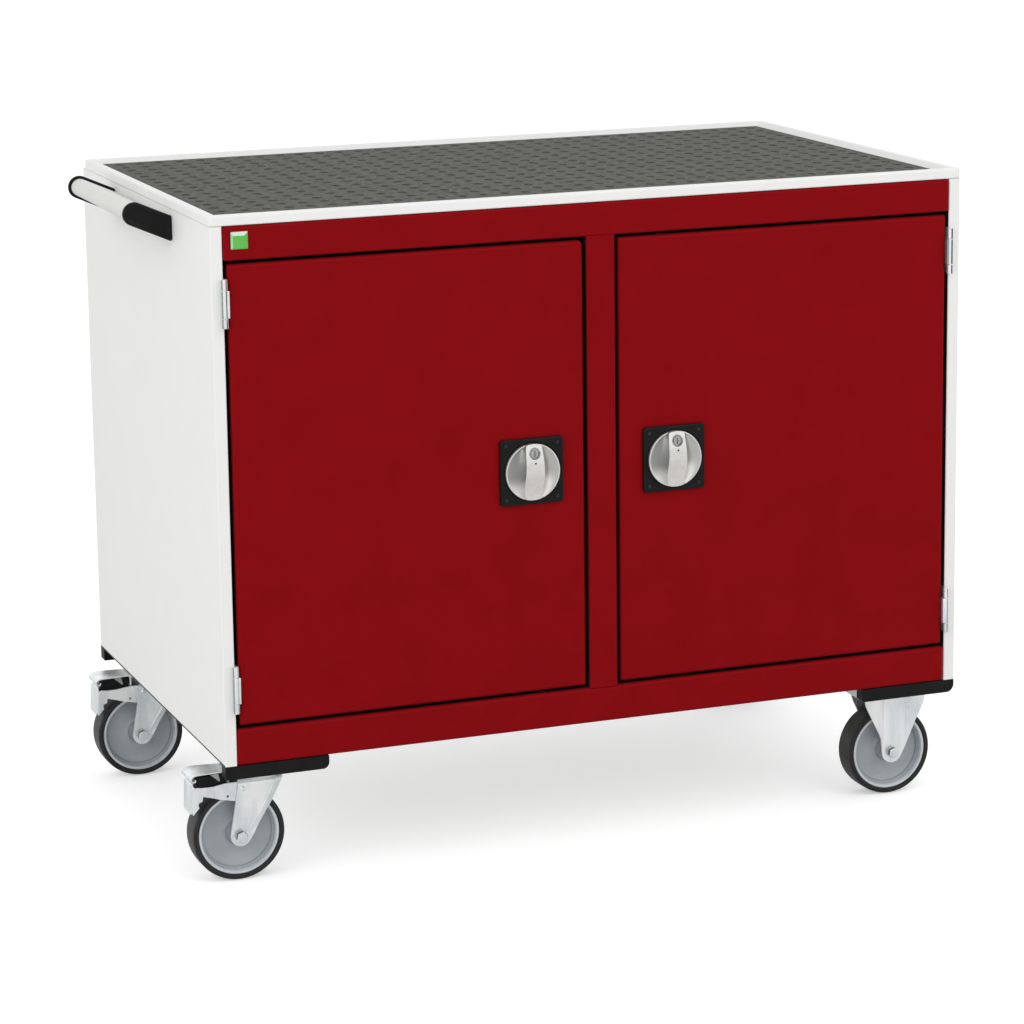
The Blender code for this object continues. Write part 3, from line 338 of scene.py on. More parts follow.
def finish(piece, body, *nodes, angle=40, flats=True):
    """Shades a piece so that flats stay flat, and joins it to its body in place of its nodes."""
    piece.data.shade_smooth()
    piece.data.set_sharp_from_angle(angle=math.radians(angle))
    if flats:
        weighted = piece.modifiers.new("flats", "WEIGHTED_NORMAL")
        weighted.keep_sharp = True
        weighted.weight = 80
        settle(piece)
    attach(piece, body)
    if nodes:
        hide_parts(*nodes)
    return piece


def bridge(shape, row, after, around=False):
    """Makes the faces between two rows of equally many points, open or all the way round."""
    made = []
    for index in range(len(row) if around else len(row) - 1):
        nxt = (index + 1) % len(row)
        made.append(shape.faces.new((row[index], row[nxt], after[nxt], after[index])))
    return made


def loft(rings, closed=False):
    """A skin over rings of equally many points, capped at both ends or closed on itself."""
    shape = bmesh.new()
    rows = [[shape.verts.new(point) for point in ring] for ring in rings]
    for row, after in zip(rows, rows[1:] + ([rows[0]] if closed else [])):
        bridge(shape, row, after, around=True)
    if not closed:
        shape.faces.new(rows[0])
        shape.faces.new(rows[-1][::-1])
    return shape


def rounded_rectangle(half_x, half_y, radius, level, steps=6):
    """Points round a rectangle with round corners, at a level; the radius may differ by corner."""
    points = []
    radii = listed(radius, 4)
    for quarter, (sign_x, sign_y) in enumerate(((1, 1), (-1, 1), (-1, -1), (1, -1))):
        for step in range(steps + 1):
            angle = (quarter + step / steps) * math.pi / 2
            points.append((
                sign_x * (half_x - radii[quarter]) + radii[quarter] * math.cos(angle),
                sign_y * (half_y - radii[quarter]) + radii[quarter] * math.sin(angle), level,
            ))
    return points


def right_of(way):
    """The direction to the right of a way in a plane."""
    return Vector((way.y, -way.x))


def rounded_path(points, radii, steps=6):
    """A path in a plane with its corners rounded: a list of (point, normal to the right)."""
    points = [Vector(point) for point in points]
    radii = listed(radii, len(points) - 2)
    path = [(points[0], right_of((points[1] - points[0]).normalized()))]
    for before, corner, after, radius in zip(points, points[1:], points[2:], radii):
        way_in = (corner - before).normalized()
        way_out = (after - corner).normalized()
        turn = way_in.angle_signed(way_out)
        start = right_of(way_in)
        reach = radius * math.tan(abs(turn) / 2)
        side = 1 if turn > 0 else -1
        centre = corner - way_in * reach + start * (radius * side)
        for step in range(steps + 1):
            normal = Matrix.Rotation(-turn * step / steps, 2) @ start
            path.append((centre - normal * (radius * side), normal))
    path.append((points[-1], right_of((points[-1] - points[-2]).normalized())))
    return path


def fold_strip(path, sheet, length):
    """A folded strip: the path is its outer surface, and its wall lies on the path's left."""
    around = [point for point, _ in path]
    around += [point - normal * sheet for point, normal in path[::-1]]
    shape = bmesh.new()
    low, high = ([shape.verts.new((p.x, p.y, level)) for p in around] for level in (0, length))
    bridge(shape, low, high, around=True)
    for row in (low, high):
        for index in range(len(path) - 1):
            shape.faces.new((row[index], row[index + 1], row[-2 - index], row[-1 - index]))
    return shape


def press_pan(half_x, half_y, path, sheet, corner, least=0.6 * MM):
    """A pressed pan: its section runs in (inset from the rim, level), from the flat outwards."""
    def ring(point):
        radii = [max(radius - point.x, least) for radius in listed(corner, 4)]
        return rounded_rectangle(half_x - point.x, half_y - point.x, radii, point.y)

    outer = [ring(point) for point, _ in path]
    inner = [ring(point - normal * sheet) for point, normal in path]
    return loft(outer + inner[::-1])


def turn_profile(profile, sides, closed=False):
    """A skin turned round Z from (radius, level) points; a closed one is a ring."""
    turns = [2 * math.pi * k / sides for k in range(sides)]
    return loft([
        [(radius * math.cos(turn), radius * math.sin(turn), level) for turn in turns]
        for radius, level in profile
    ], closed)


def arc(centre, radius, start, end, steps):
    """Points along an arc in degrees, both ends included."""
    return [
        (
            centre[0] + radius * math.cos(math.radians(start + (end - start) * k / steps)),
            centre[1] + radius * math.sin(math.radians(start + (end - start) * k / steps)),
        )
        for k in range(steps + 1)
    ]


def smooth(value):
    """Eases from 0 to 1."""
    value = min(max(value, 0), 1)
    return value * value * (3 - 2 * value)


def plate(outline, thickness):
    """A flat plate with a drawn outline, from level 0 up."""
    return loft([[(x, y, level) for x, y in outline] for level in (0, thickness)])


def rounded_plate(half_x, half_y, radius, thickness):
    """A flat plate with round corners, from level 0 up."""
    return loft([rounded_rectangle(half_x, half_y, radius, level) for level in (0, thickness)])


def block_shape(low, high):
    """A box between two corners, as a bmesh."""
    corners = [(low[0], low[1]), (high[0], low[1]), (high[0], high[1]), (low[0], high[1])]
    return loft([[(x, y, level) for x, y in corners] for level in (low[2], high[2])])


# Repeats with Geometry Nodes

def start_tree(name, inputs):
    """A Geometry Nodes tree with named inputs, and what its group input gives."""
    tree = bpy.data.node_groups.new(name, "GeometryNodeTree")
    for label, kind in inputs.items():
        tree.interface.new_socket(label, in_out="INPUT", socket_type="NodeSocket" + kind)
    tree.interface.new_socket("Geometry", in_out="OUTPUT", socket_type="NodeSocketGeometry")
    return tree, add_node(tree, "NodeGroupInput").outputs


def copies_on_grid(tree, copied, count_x, count_y, size_x, size_y):
    """Real copies of an object at the points of a grid."""
    grid = add_node(tree, "GeometryNodeMeshGrid", inputs={
        "Vertices X": count_x, "Vertices Y": count_y, "Size X": size_x, "Size Y": size_y,
    })
    made = add_node(tree, "GeometryNodeObjectInfo", inputs={"Object": copied})
    spread = add_node(tree, "GeometryNodeInstanceOnPoints", inputs={
        "Points": grid.outputs["Mesh"], "Instance": made.outputs["Geometry"],
    })
    return add_node(
        tree, "GeometryNodeRealizeInstances", inputs={"Geometry": spread.outputs[0]}
    ).outputs[0]


def fastener_tree():
    """Rows of one fastener over a plane, as a tree with named inputs."""
    tree, given = start_tree("fastener_rows", {
        "Fastener": "Object", "Across": "Int", "Up": "Int", "Width": "Float", "Height": "Float",
        "Metal": "Material",
    })
    asked = [given[name] for name in ("Fastener", "Across", "Up", "Width", "Height")]
    solid = copies_on_grid(tree, *asked)
    metal = add_node(tree, "GeometryNodeSetMaterial", inputs={
        "Geometry": solid, "Material": given["Metal"],
    })
    add_node(tree, "NodeGroupOutput", inputs={"Geometry": metal.outputs[0]})
    return tree


def mat_tree():
    """Dimpled tiles over the mat, merged into one sheet, as a tree with named inputs."""
    tree, given = start_tree("mat_dimple_tiles", {
        "Tile": "Object", "Across": "Int", "Deep": "Int", "Pitch across": "Float",
        "Pitch deep": "Float", "Rubber": "Material", "Dimple": "Material",
    })
    sizes = []
    for count, pitch in (("Across", "Pitch across"), ("Deep", "Pitch deep")):
        gaps = add_node(tree, "ShaderNodeMath", {"operation": "SUBTRACT"}, {0: given[count], 1: 1.0})
        sizes.append(add_node(tree, "ShaderNodeMath", {"operation": "MULTIPLY"}, {
            0: gaps.outputs[0], 1: given[pitch],
        }).outputs[0])
    solid = copies_on_grid(tree, given["Tile"], given["Across"], given["Deep"], *sizes)
    sheet = add_node(tree, "GeometryNodeMergeByDistance", inputs={
        "Geometry": solid, "Distance": 0.05 * MM,
    })
    rubber = add_node(tree, "GeometryNodeSetMaterial", inputs={
        "Geometry": sheet.outputs[0], "Material": given["Rubber"],
    })
    # Faces in the dimples take the darker rubber, as painted shade
    marked = add_node(tree, "GeometryNodeInputNamedAttribute", {"data_type": "BOOLEAN"}, {
        "Name": "in_dimple",
    })
    dimple = add_node(tree, "GeometryNodeSetMaterial", inputs={
        "Geometry": rubber.outputs[0], "Selection": marked.outputs["Attribute"],
        "Material": given["Dimple"],
    })
    add_node(tree, "NodeGroupOutput", inputs={"Geometry": dimple.outputs[0]})
    return tree


def grow(name, tree, values):
    """Runs a tree once with its inputs set, and gives its plain mesh as an object."""
    holder = bpy.data.objects.new(name, bpy.data.meshes.new(name))
    SCENE.collection.objects.link(holder)
    modifier = holder.modifiers.new(name, "NODES")
    modifier.node_group = tree
    for item in tree.interface.items_tree:
        if item.in_out == "INPUT" and item.name in values:
            modifier[item.identifier] = values[item.name]
    return settle(holder)


FASTENERS = fastener_tree()


def fasten(name, profile, sides, across, up, width, height, place, body, metal):
    """Rows of turned fasteners, such as rivets or corner plugs, on a plane."""
    sample = turned("sample", profile, sides, metal)
    piece = grow(name, FASTENERS, {
        "Fastener": sample, "Across": across, "Up": up, "Width": width, "Height": height,
        "Metal": metal,
    })
    bpy.data.objects.remove(sample, do_unlink=True)
    piece.data.transform(place)
    return finish(piece, body, angle=32)


def rivet(radius, height):
    """A domed blind rivet's profile, from its seat to its crown."""
    return [(radius, 0), (radius, 0.25 * height), (0.82 * radius, 0.62 * height),
            (0.5 * radius, 0.9 * height), (0.22 * radius, height), (0.2 * radius, 0.8 * height)]


# Cabinet

def make_side_panels():
    """Side walls: each is one folded sheet with its rear flange, front stile and return."""
    stile, returned, flange, past = 16 * MM, 20 * MM, 18 * MM, 5 * MM
    gap_shade_low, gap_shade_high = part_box("bottom_rail")[1].z - past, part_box("top_fascia")[0].z + past
    for word, side in (("left", -1), ("right", 1)):
        node = "side_panel_" + word
        low, high, _, size = box_of(node)
        outer = low.x if side < 0 else high.x
        path = [
            (outer - side * flange, high.y), (outer, high.y), (outer, low.y),
            (outer - side * stile, low.y), (outer - side * stile, low.y + returned),
        ]
        if side > 0:
            path.reverse()
        shape = fold_strip(rounded_path(path, BEND), SHEET, size.z)
        for level in (gap_shade_low - low.z, gap_shade_high - low.z):
            parts = shape.verts[:] + shape.edges[:] + shape.faces[:]
            bmesh.ops.bisect_plane(shape, geom=parts, plane_co=(0, 0, level), plane_no=(0, 0, 1))
        piece = as_piece(node, shape, GREY_PAINT, Matrix.Translation((0, 0, low.z)))

        def behind_stile(face):
            return (
                face.center.y < low.y + returned and abs(face.center.x - outer) > stile - 2 * MM
                and gap_shade_low < face.center.z < gap_shade_high
            )

        # Painted shade on the stile's return in the gap beside the doors
        paint_gap_shade(piece, low.y + 3 * MM, behind_stile)
        finish(piece, "cabinet", node)
        # A black strip along the bottom edge, as painted shade in the gap above the channel
        edge_x = sorted((outer + side * 0.35 * MM, outer - side * 1.5 * MM))
        shade_strip = slab(
            "bottom_edging_" + word, (edge_x[0], low.y + 2 * MM, low.z - 0.5 * MM),
            (edge_x[1], high.y - 2 * MM, low.z + 1.3 * MM), BLACK_ABS,
        )
        finish(shade_strip, "cabinet")


def make_door_gap_shades():
    """A black rubber ring all round the back of each door, on the frame's folds, as painted shade behind
    the door gaps.
    """
    past, wide, thick = 4.2 * MM, 10 * MM, 2.6 * MM
    for word in ("left", "right"):
        _, high, middle, size = box_of("door_" + word)
        rings = [
            rounded_rectangle(size.x / 2 + past - inset, size.z / 2 + past - inset, 2 * MM, level)
            for inset, level in ((0, 0), (0, thick), (wide, thick), (wide, 0))
        ]
        piece = as_piece("door_stop_" + word, loft(rings, closed=True), GAP_SHADE_RUBBER,
                         at(middle.x, high.y + past, middle.z, "front"))
        finish(piece, "cabinet", angle=30)


def make_pan(node, body, paint, facing, path, radii, corner, tools=(), gap_shaded=None):
    """A pressed pan in a node's box; its path runs in (inset, level below the highest face)."""
    low, high, middle, size = box_of(node)
    if facing == "up":
        half_x, half_y, place = size.x / 2, size.y / 2, at(middle.x, middle.y, high.z)
    else:
        face = low.y if facing == "front" else high.y
        half_x, half_y, place = size.x / 2, size.z / 2, at(middle.x, face, middle.z, facing)
    shape = press_pan(half_x, half_y, rounded_path(path, radii), SHEET, corner)
    piece = as_piece(node, shape, paint, place)
    if tools:
        cut(piece, *tools)
        # Painted shade on the pan's side walls in the gaps
        paint_gap_shade(piece, low.y + GAP_SHADE_START, gap_shaded)
    return finish(piece, body, node)


def paint_gap_shade(piece, start, test=None):
    """Paints a piece's side walls black from a depth on, as painted shade in the gaps."""
    piece.data.materials.append(GAP_SHADE_RUBBER)
    gap_shade_slot = len(piece.data.materials) - 1
    for face in piece.data.polygons:
        if abs(face.normal.y) < 0.3 and face.center.y > start and (test is None or test(face)):
            face.material_index = gap_shade_slot


def rod_slot(rod, level):
    """The shape that cuts a locking rod's slot through a fold at a level."""
    low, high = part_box(rod)
    reach = Vector((SEAT_GAP, SEAT_GAP, 4 * MM))
    return slab(
        "slot_tool", Vector((low.x, low.y, level)) - reach, Vector((high.x, high.y, level)) + reach, ZINC
    )


def make_cabinet():
    """Back, floor, partition and shelves."""
    for node, facing, depth, lip in (
        ("back_panel", "back", 22, 0), ("floor_panel", "up", 45.7, 0),
        ("shelf_left", "up", 25, 8), ("shelf_right", "up", 25, 8),
    ):
        path = mm((30, 0), (0, 0), (0, -depth)) + (mm((lip, -depth)) if lip else [])
        make_pan(node, "cabinet", GREY_PAINT, facing, path, BEND, 2.4 * MM)

    low, high, _, size = box_of("centre_partition")
    path = [(high.x, high.y), (low.x, high.y), (low.x, low.y), (high.x, low.y)]
    shape = fold_strip(rounded_path(path, BEND), SHEET, size.z)
    piece = as_piece("centre_partition", shape, GREY_PAINT, Matrix.Translation((0, 0, low.z)))
    finish(piece, "cabinet", "centre_partition")

    _, high, middle, size = box_of("back_panel")
    place = at(middle.x, high.y - 0.05 * MM, middle.z, "back")
    for name, across, up, width, height in (
        ("back_rivets_rows", 8, 2, size.x - 120 * MM, size.z - 24 * MM),
        ("back_rivets_columns", 2, 6, size.x - 46 * MM, size.z - 90 * MM),
    ):
        profile = rivet(3.2 * MM, 1.2 * MM)
        fasten(name, profile, 16, across, up, width, height, place, "cabinet", ZINC)


def make_front_frame():
    """The red fascia, bottom rail and mullion."""
    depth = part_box("top_fascia")[1].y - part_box("top_fascia")[0].y
    for node, radius, rods, end in (
        ("top_fascia", 3.0, "lock_rod_upper_", 0), ("bottom_rail", 5.0, "lock_rod_lower_", 1),
    ):
        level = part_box(node)[end].z
        tools = [rod_slot(rods + word, level) for word in ("left", "right")]
        path = [(12 * MM, 0), (0, 0), (0, -depth)]
        # Painted shade on the fascia's and rail's top and bottom flanges in the gaps
        make_pan(
            node, "cabinet", RED_PAINT, "front", path, radius * MM, 4.0 * MM, tools,
            lambda face: abs(face.normal.z) > 0.7,
        )

    low, high, _, size = box_of("mullion")
    hidden = 1 * MM
    path = [(low.x, high.y), (low.x, low.y), (high.x, low.y), (high.x, high.y)]
    shape = fold_strip(rounded_path(path, 2.6 * MM), SHEET, size.z + 2 * hidden)
    piece = as_piece("mullion", shape, RED_PAINT, Matrix.Translation((0, 0, low.z - hidden)))
    # Painted shade on the mullion's sides in the gaps beside the doors
    paint_gap_shade(piece, low.y + 4 * MM)
    finish(piece, "cabinet", "mullion")


def make_tray():
    """The worktop tray: a recessed floor inside a folded lip."""
    depth = box_of("top_tray")[3].z
    crest, hem, floor, returned = 10 * MM, 18 * MM, 9.3 * MM, 12 * MM
    path = [
        (hem + 30 * MM, -floor), (hem, -floor), (crest, 0), (0, 0), (0, -depth), (returned, -depth),
    ]
    bends = [1.6 * MM, 2.6 * MM, 3.4 * MM, 1.9 * MM]
    make_pan("top_tray", "cabinet", GREY_PAINT, "up", path, bends, 7 * MM)


def dimple_tile(pitch_x, pitch_y):
    """One tile of the mat's top with a shallow oval dimple, its faces marked."""
    sides, depth, reach_x, reach_y = 16, 0.9 * MM, 6.6 * MM, 8.2 * MM
    half_x, half_y = pitch_x / 2, pitch_y / 2
    ends = ((1, -1), (1, 1), (-1, 1), (-1, -1), (1, -1))
    border = []
    for k in range(sides):
        share = (k % 4) / 4
        (x0, y0), (x1, y1) = ends[k // 4], ends[k // 4 + 1]
        border.append((half_x * (x0 + (x1 - x0) * share), half_y * (y0 + (y1 - y0) * share), 0))
    turns = [2 * math.pi * k / sides - math.pi / 4 for k in range(sides)]
    rings = [border] + [
        [(reach_x * share * math.cos(turn), reach_y * share * math.sin(turn), level) for turn in turns]
        for share, level in ((1.0, 0), (0.9, -0.35 * depth), (0.74, -depth))
    ]
    shape = bmesh.new()
    # Marks the dimple faces that take the painted shade
    mark = shape.faces.layers.bool.new("in_dimple")
    rows = [[shape.verts.new(point) for point in ring] for ring in rings]
    for number, (row, after) in enumerate(zip(rows, rows[1:])):
        for face in bridge(shape, row, after, around=True):
            face[mark] = number > 0
    shape.faces.new(rows[-1])[mark] = True
    return as_piece("mat_tile", shape, MAT_RUBBER)


def make_mat():
    """The moulded rubber mat: tiles of dimples inside a plain rounded border."""
    _, high, middle, size = box_of("tray_mat")
    across, deep, border, near = 34, 17, 6 * MM, 0.01 * MM
    pitch_x, pitch_y = (size.x - 2 * border) / across, (size.y - 2 * border) / deep
    tile = dimple_tile(pitch_x, pitch_y)
    piece = grow("tray_mat", mat_tree(), {
        "Tile": tile, "Across": across, "Deep": deep, "Pitch across": pitch_x,
        "Pitch deep": pitch_y, "Rubber": MAT_RUBBER, "Dimple": MAT_DIMPLE_SHADE,
    })
    bpy.data.objects.remove(tile, do_unlink=True)

    shape = bmesh.new()
    shape.from_mesh(piece.data)
    edge_x, edge_y = size.x / 2 - border, size.y / 2 - border
    for out, down in ((border - 0.8 * MM, 0), (border - 0.25 * MM, 0.25 * MM),
                      (border, 0.8 * MM), (border, size.z - 0.3 * MM), (border - 0.3 * MM, size.z)):
        rim = [edge for edge in shape.edges if edge.is_boundary]
        made = bmesh.ops.extrude_edge_only(shape, edges=rim)["geom"]
        for vertex in (item for item in made if isinstance(item, bmesh.types.BMVert)):
            x, y, _ = vertex.co
            if abs(x) > edge_x - near:
                x = math.copysign(edge_x + out, x)
            if abs(y) > edge_y - near:
                y = math.copysign(edge_y + out, y)
            vertex.co = (x, y, -down)
    bmesh.ops.holes_fill(shape, edges=[edge for edge in shape.edges if edge.is_boundary])
    bmesh.ops.recalc_face_normals(shape, faces=shape.faces)
    shape.to_mesh(piece.data)
    shape.free()
    piece.data.transform(Matrix.Translation((middle.x, middle.y, high.z)))
    finish(piece, "cabinet", "tray_mat", angle=50)


def make_badge():
    """A plain green moulded square: a flat face inside a bevel, with painted highlights on the bevel's
    upper and left faces.
    """
    _, high, middle, size = box_of("badge")
    half, height = size.x / 2 - 0.4 * MM, size.y
    rings = []
    for inset, share in ((0, 0), (0, 0.30), (0.3, 0.44), (3.0, 0.93), (3.8, 0.985), (5.6, 1.0)):
        side = half - inset * MM
        ring = rounded_rectangle(side, side, max(1.2 - 0.3 * inset, 0.5) * MM, share * height)
        shift = min(inset, 3.0) / 3.0 * MM
        rings.append([(x - 0.9 * shift, y - 1.1 * shift, z) for x, y, z in ring])
    place = at(middle.x, high.y, middle.z, "front")
    badge = as_piece("badge", loft(rings), [GREEN_PLASTIC, BADGE_TOP_PAINTED_HIGHLIGHT, BADGE_LEFT_PAINTED_HIGHLIGHT], place)
    # Painted highlights: the bevel's upward faces pale, its left-facing faces a lighter green
    for face in badge.data.polygons:
        face.material_index = 1 if face.normal.z > 0.12 else (2 if face.normal.x < -0.3 else 0)
    finish(badge, "cabinet", "badge", angle=14)


# Doors, hinges and locks

def make_doors():
    """Pressed doors: rounded front edges, deep sides and a return lip round the back."""
    for word in ("left", "right"):
        node = "door_" + word
        low, high, _, size = box_of(node)
        lock = box_of("escutcheon_" + word)[2]
        tools = [
            turned("lock_hole", mm((20.5, -20), (20.5, 6)), 48, ZINC, at(lock.x, low.y, lock.z, "front")),
            rod_slot("lock_rod_upper_" + word, high.z), rod_slot("lock_rod_lower_" + word, low.z),
        ]
        path = [(30 * MM, 0), (0, 0), (0, -size.y)]
        # The left door's upper corner beside the mullion is rounder than the rest
        corners = [radius * MM for radius in (7 if word == "left" else 2.2, 2.2, 2.2, 2.2)]
        make_pan(node, node, RED_PAINT, "front", path, 5.0 * MM, corners, tools)


def make_hinges():
    """Three-knuckle hinges: turned knuckles on folded zinc leaves."""
    radius, soft = 4.0 * MM, 0.5 * MM
    # Where a painted dark reflection runs down the knuckles, in mm from the pin towards the door
    stripes = {
        "left_upper": (0.6, 2.1), "left_lower": (1.7, 2.1),
        "right_upper": (-2.2, 0.4), "right_lower": (-0.3, 0.3),
    }
    for side_word, side in (("left", -1), ("right", 1)):
        for level in ("upper", "lower"):
            ending = side_word + "_" + level
            frame_node, door_node = "hinge_frame_leaf_" + ending, "hinge_door_leaf_" + ending
            low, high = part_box(frame_node)
            door_low, door_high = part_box(door_node)
            axis_x = (low.x + radius) if side > 0 else (high.x - radius)
            axis_y = low.y + radius
            place = Matrix.Translation((axis_x, axis_y, 0))
            shaded_from, shaded_to = stripes[ending]

            def knuckle(name, base, top, metals):
                inner = radius - soft
                profile = [(inner, base), (radius, base + soft), (radius, top - soft), (inner, top)]
                return turned(name, profile, 48, metals, place)

            def leaf(name, start_y, end_y, near, far, base, top, metals=ZINC):
                near_x, far_x = sorted((axis_x - side * near * MM, axis_x - side * far * MM))
                return slab(name, (near_x, start_y, base), (far_x, end_y, top), metals)

            # Paints a dark stripe down each knuckle as a painted reflection, and a darker band on the far
            # side of the left hinges' knuckles as painted shade
            def paint_knuckle_shade(piece):
                for face in piece.data.polygons:
                    across = (axis_x - face.center.x) * side / MM
                    if abs(face.normal.z) > 0.5 or face.center.y > axis_y + 0.5 * MM or across > 3.9:
                        continue
                    if shaded_from < across < shaded_to:
                        face.material_index = 2
                    elif across < -2.7:
                        face.material_index = int(side < 0)

            parts = []
            for base, top in ((low.z, door_low.z - SEAT_GAP), (door_high.z + SEAT_GAP, high.z)):
                parts.append(knuckle("frame_knuckle", base, top, ZINC))
                parts.append(leaf("frame_wing", axis_y, axis_y + 6.3 * MM, 0.3, 1.8, base, top))
            pin = [(1.9 * MM, low.z + 1 * MM), (1.9 * MM, high.z - 1 * MM)]
            parts.append(turned("pin", pin, 20, ZINC, place))
            main = leaf(frame_node, axis_y + 4.8 * MM, high.y, 0.3, 1.8, low.z, high.z, HINGE_METALS)
            join(main, parts)
            round_edges(main, 0.25 * MM, 2, 60)
            paint_knuckle_shade(main)
            finish(main, "cabinet", frame_node, angle=35)

            main = knuckle(door_node, door_low.z, door_high.z, HINGE_METALS)
            # The upper right hinge's eye takes a darker zinc as painted shade
            eye = leaf(
                "eye", door_low.y + 1.2 * MM, axis_y + 2.4 * MM, 1.8, 5.8, door_low.z, door_high.z,
                WORN_AND_SHADED_ZINC if ending == "right_upper" else ZINC,
            )
            round_edges(eye, 0.8 * MM, 3, 60)
            join(main, [eye, leaf("wing", axis_y, door_high.y, 3.2, 4.7, door_low.z, door_high.z)])
            paint_knuckle_shade(main)
            finish(main, "door_" + side_word, door_node, angle=35)


def make_escutcheons():
    """Square black lock plates with a raised collar and four corner plugs."""
    for word in ("left", "right"):
        node, body = "escutcheon_" + word, "door_" + word
        low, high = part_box(node)
        middle_x, middle_z, half = (low.x + high.x) / 2, (low.z + high.z) / 2, (high.x - low.x) / 2
        plug_spot = half - 8.2 * MM
        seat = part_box(body)[0].y - SEAT_GAP
        depth = seat - low.y
        face_level = depth - 1.2 * MM
        rings = [rounded_rectangle(half, half, 5 * MM, 0)]
        for inset, level in ((0, 0.55), (0.25, 0.78), (0.9, 0.92), (2.0, 1.0)):
            side = half - inset * MM
            rings.append(rounded_rectangle(side, side, max(5 - inset, 2) * MM, level * face_level))
        place = at(middle_x, seat, middle_z, "front")
        main = as_piece(node, loft(rings), BLACK_ABS, place)
        collar = [
            (42.9 * MM, 2 * MM), (42.7 * MM, depth - 0.9 * MM), (42.0 * MM, depth - 0.2 * MM),
            (41.3 * MM, depth), (40.4 * MM, depth), (39.7 * MM, depth - 0.4 * MM), (39.5 * MM, 2 * MM),
        ]
        join(main, [
            turned("collar", collar, 96, BLACK_ABS, place, ring=True),
            turned("neck", mm((20, -4), (20, 1.5)), 64, BLACK_ABS, place),
        ])
        past = depth + 4 * MM
        bores = [(39.5 * MM, depth - 2 * MM, past, place), (5.3 * MM, -8 * MM, past, place)]
        bores += [
            (3.4 * MM, face_level - 0.7 * MM, face_level + 2 * MM, place @ Matrix.Translation((x, y, 0)))
            for x in (-plug_spot, plug_spot) for y in (-plug_spot, plug_spot)
        ]
        cut(main, *(
            turned("tool", [(radius, start), (radius, end)], 96, BLACK_ABS, spot)
            for radius, start, end, spot in bores
        ))
        finish(main, body, node, angle=30)

        radius = 2.7 * MM
        plug = [(radius, -0.2 * MM), (radius, 0.75 * MM), (0.9 * radius, 0.95 * MM),
                (0.62 * radius, 0.95 * MM), (0.5 * radius, 0.45 * MM), (0.2 * radius, 0.4 * MM)]
        spread = 2 * plug_spot
        face = at(middle_x, seat - face_level + 0.7 * MM, middle_z, "front")
        fasten("plate_plugs_" + word, plug, 20, 2, 2, spread, spread, face, body, PLUG_ABS)


def ridge_height(share):
    """How far a knob's grip stands above its rim, from its foot (-1) to its top (1)."""
    spread = 0.7 if share < 0.12 else 0.85
    return KNOB_GRIP * math.exp(-((share - 0.12) / spread) ** 2)


def make_knobs():
    """Turning knobs: a disc with an arched grip left between two scoops."""
    for word in ("left", "right"):
        node = "lock_knob_" + word
        low, high, middle, size = box_of(node)
        place = at(middle.x, high.y, middle.z, "front")
        # The scoops take the material with painted shade and a painted highlight
        knob = as_piece(node, knob_shape(size.x / 2 - 0.7 * MM), [SILVER, SILVER_SCOOP_PAINTED_SHADE], place)
        key = box_of("key_cylinder_" + word)[2]
        cut(
            knob, turned("well", mm((7.8, -9), (7.8, 9)), 48, SILVER, at(key.x, low.y, key.z, "front")),
            turned("socket", mm((5.3, -7.8), (5.3, 7.8)), 32, SILVER, place),
        )
        finish(knob, "knob_" + word, node, angle=42, flats=False)


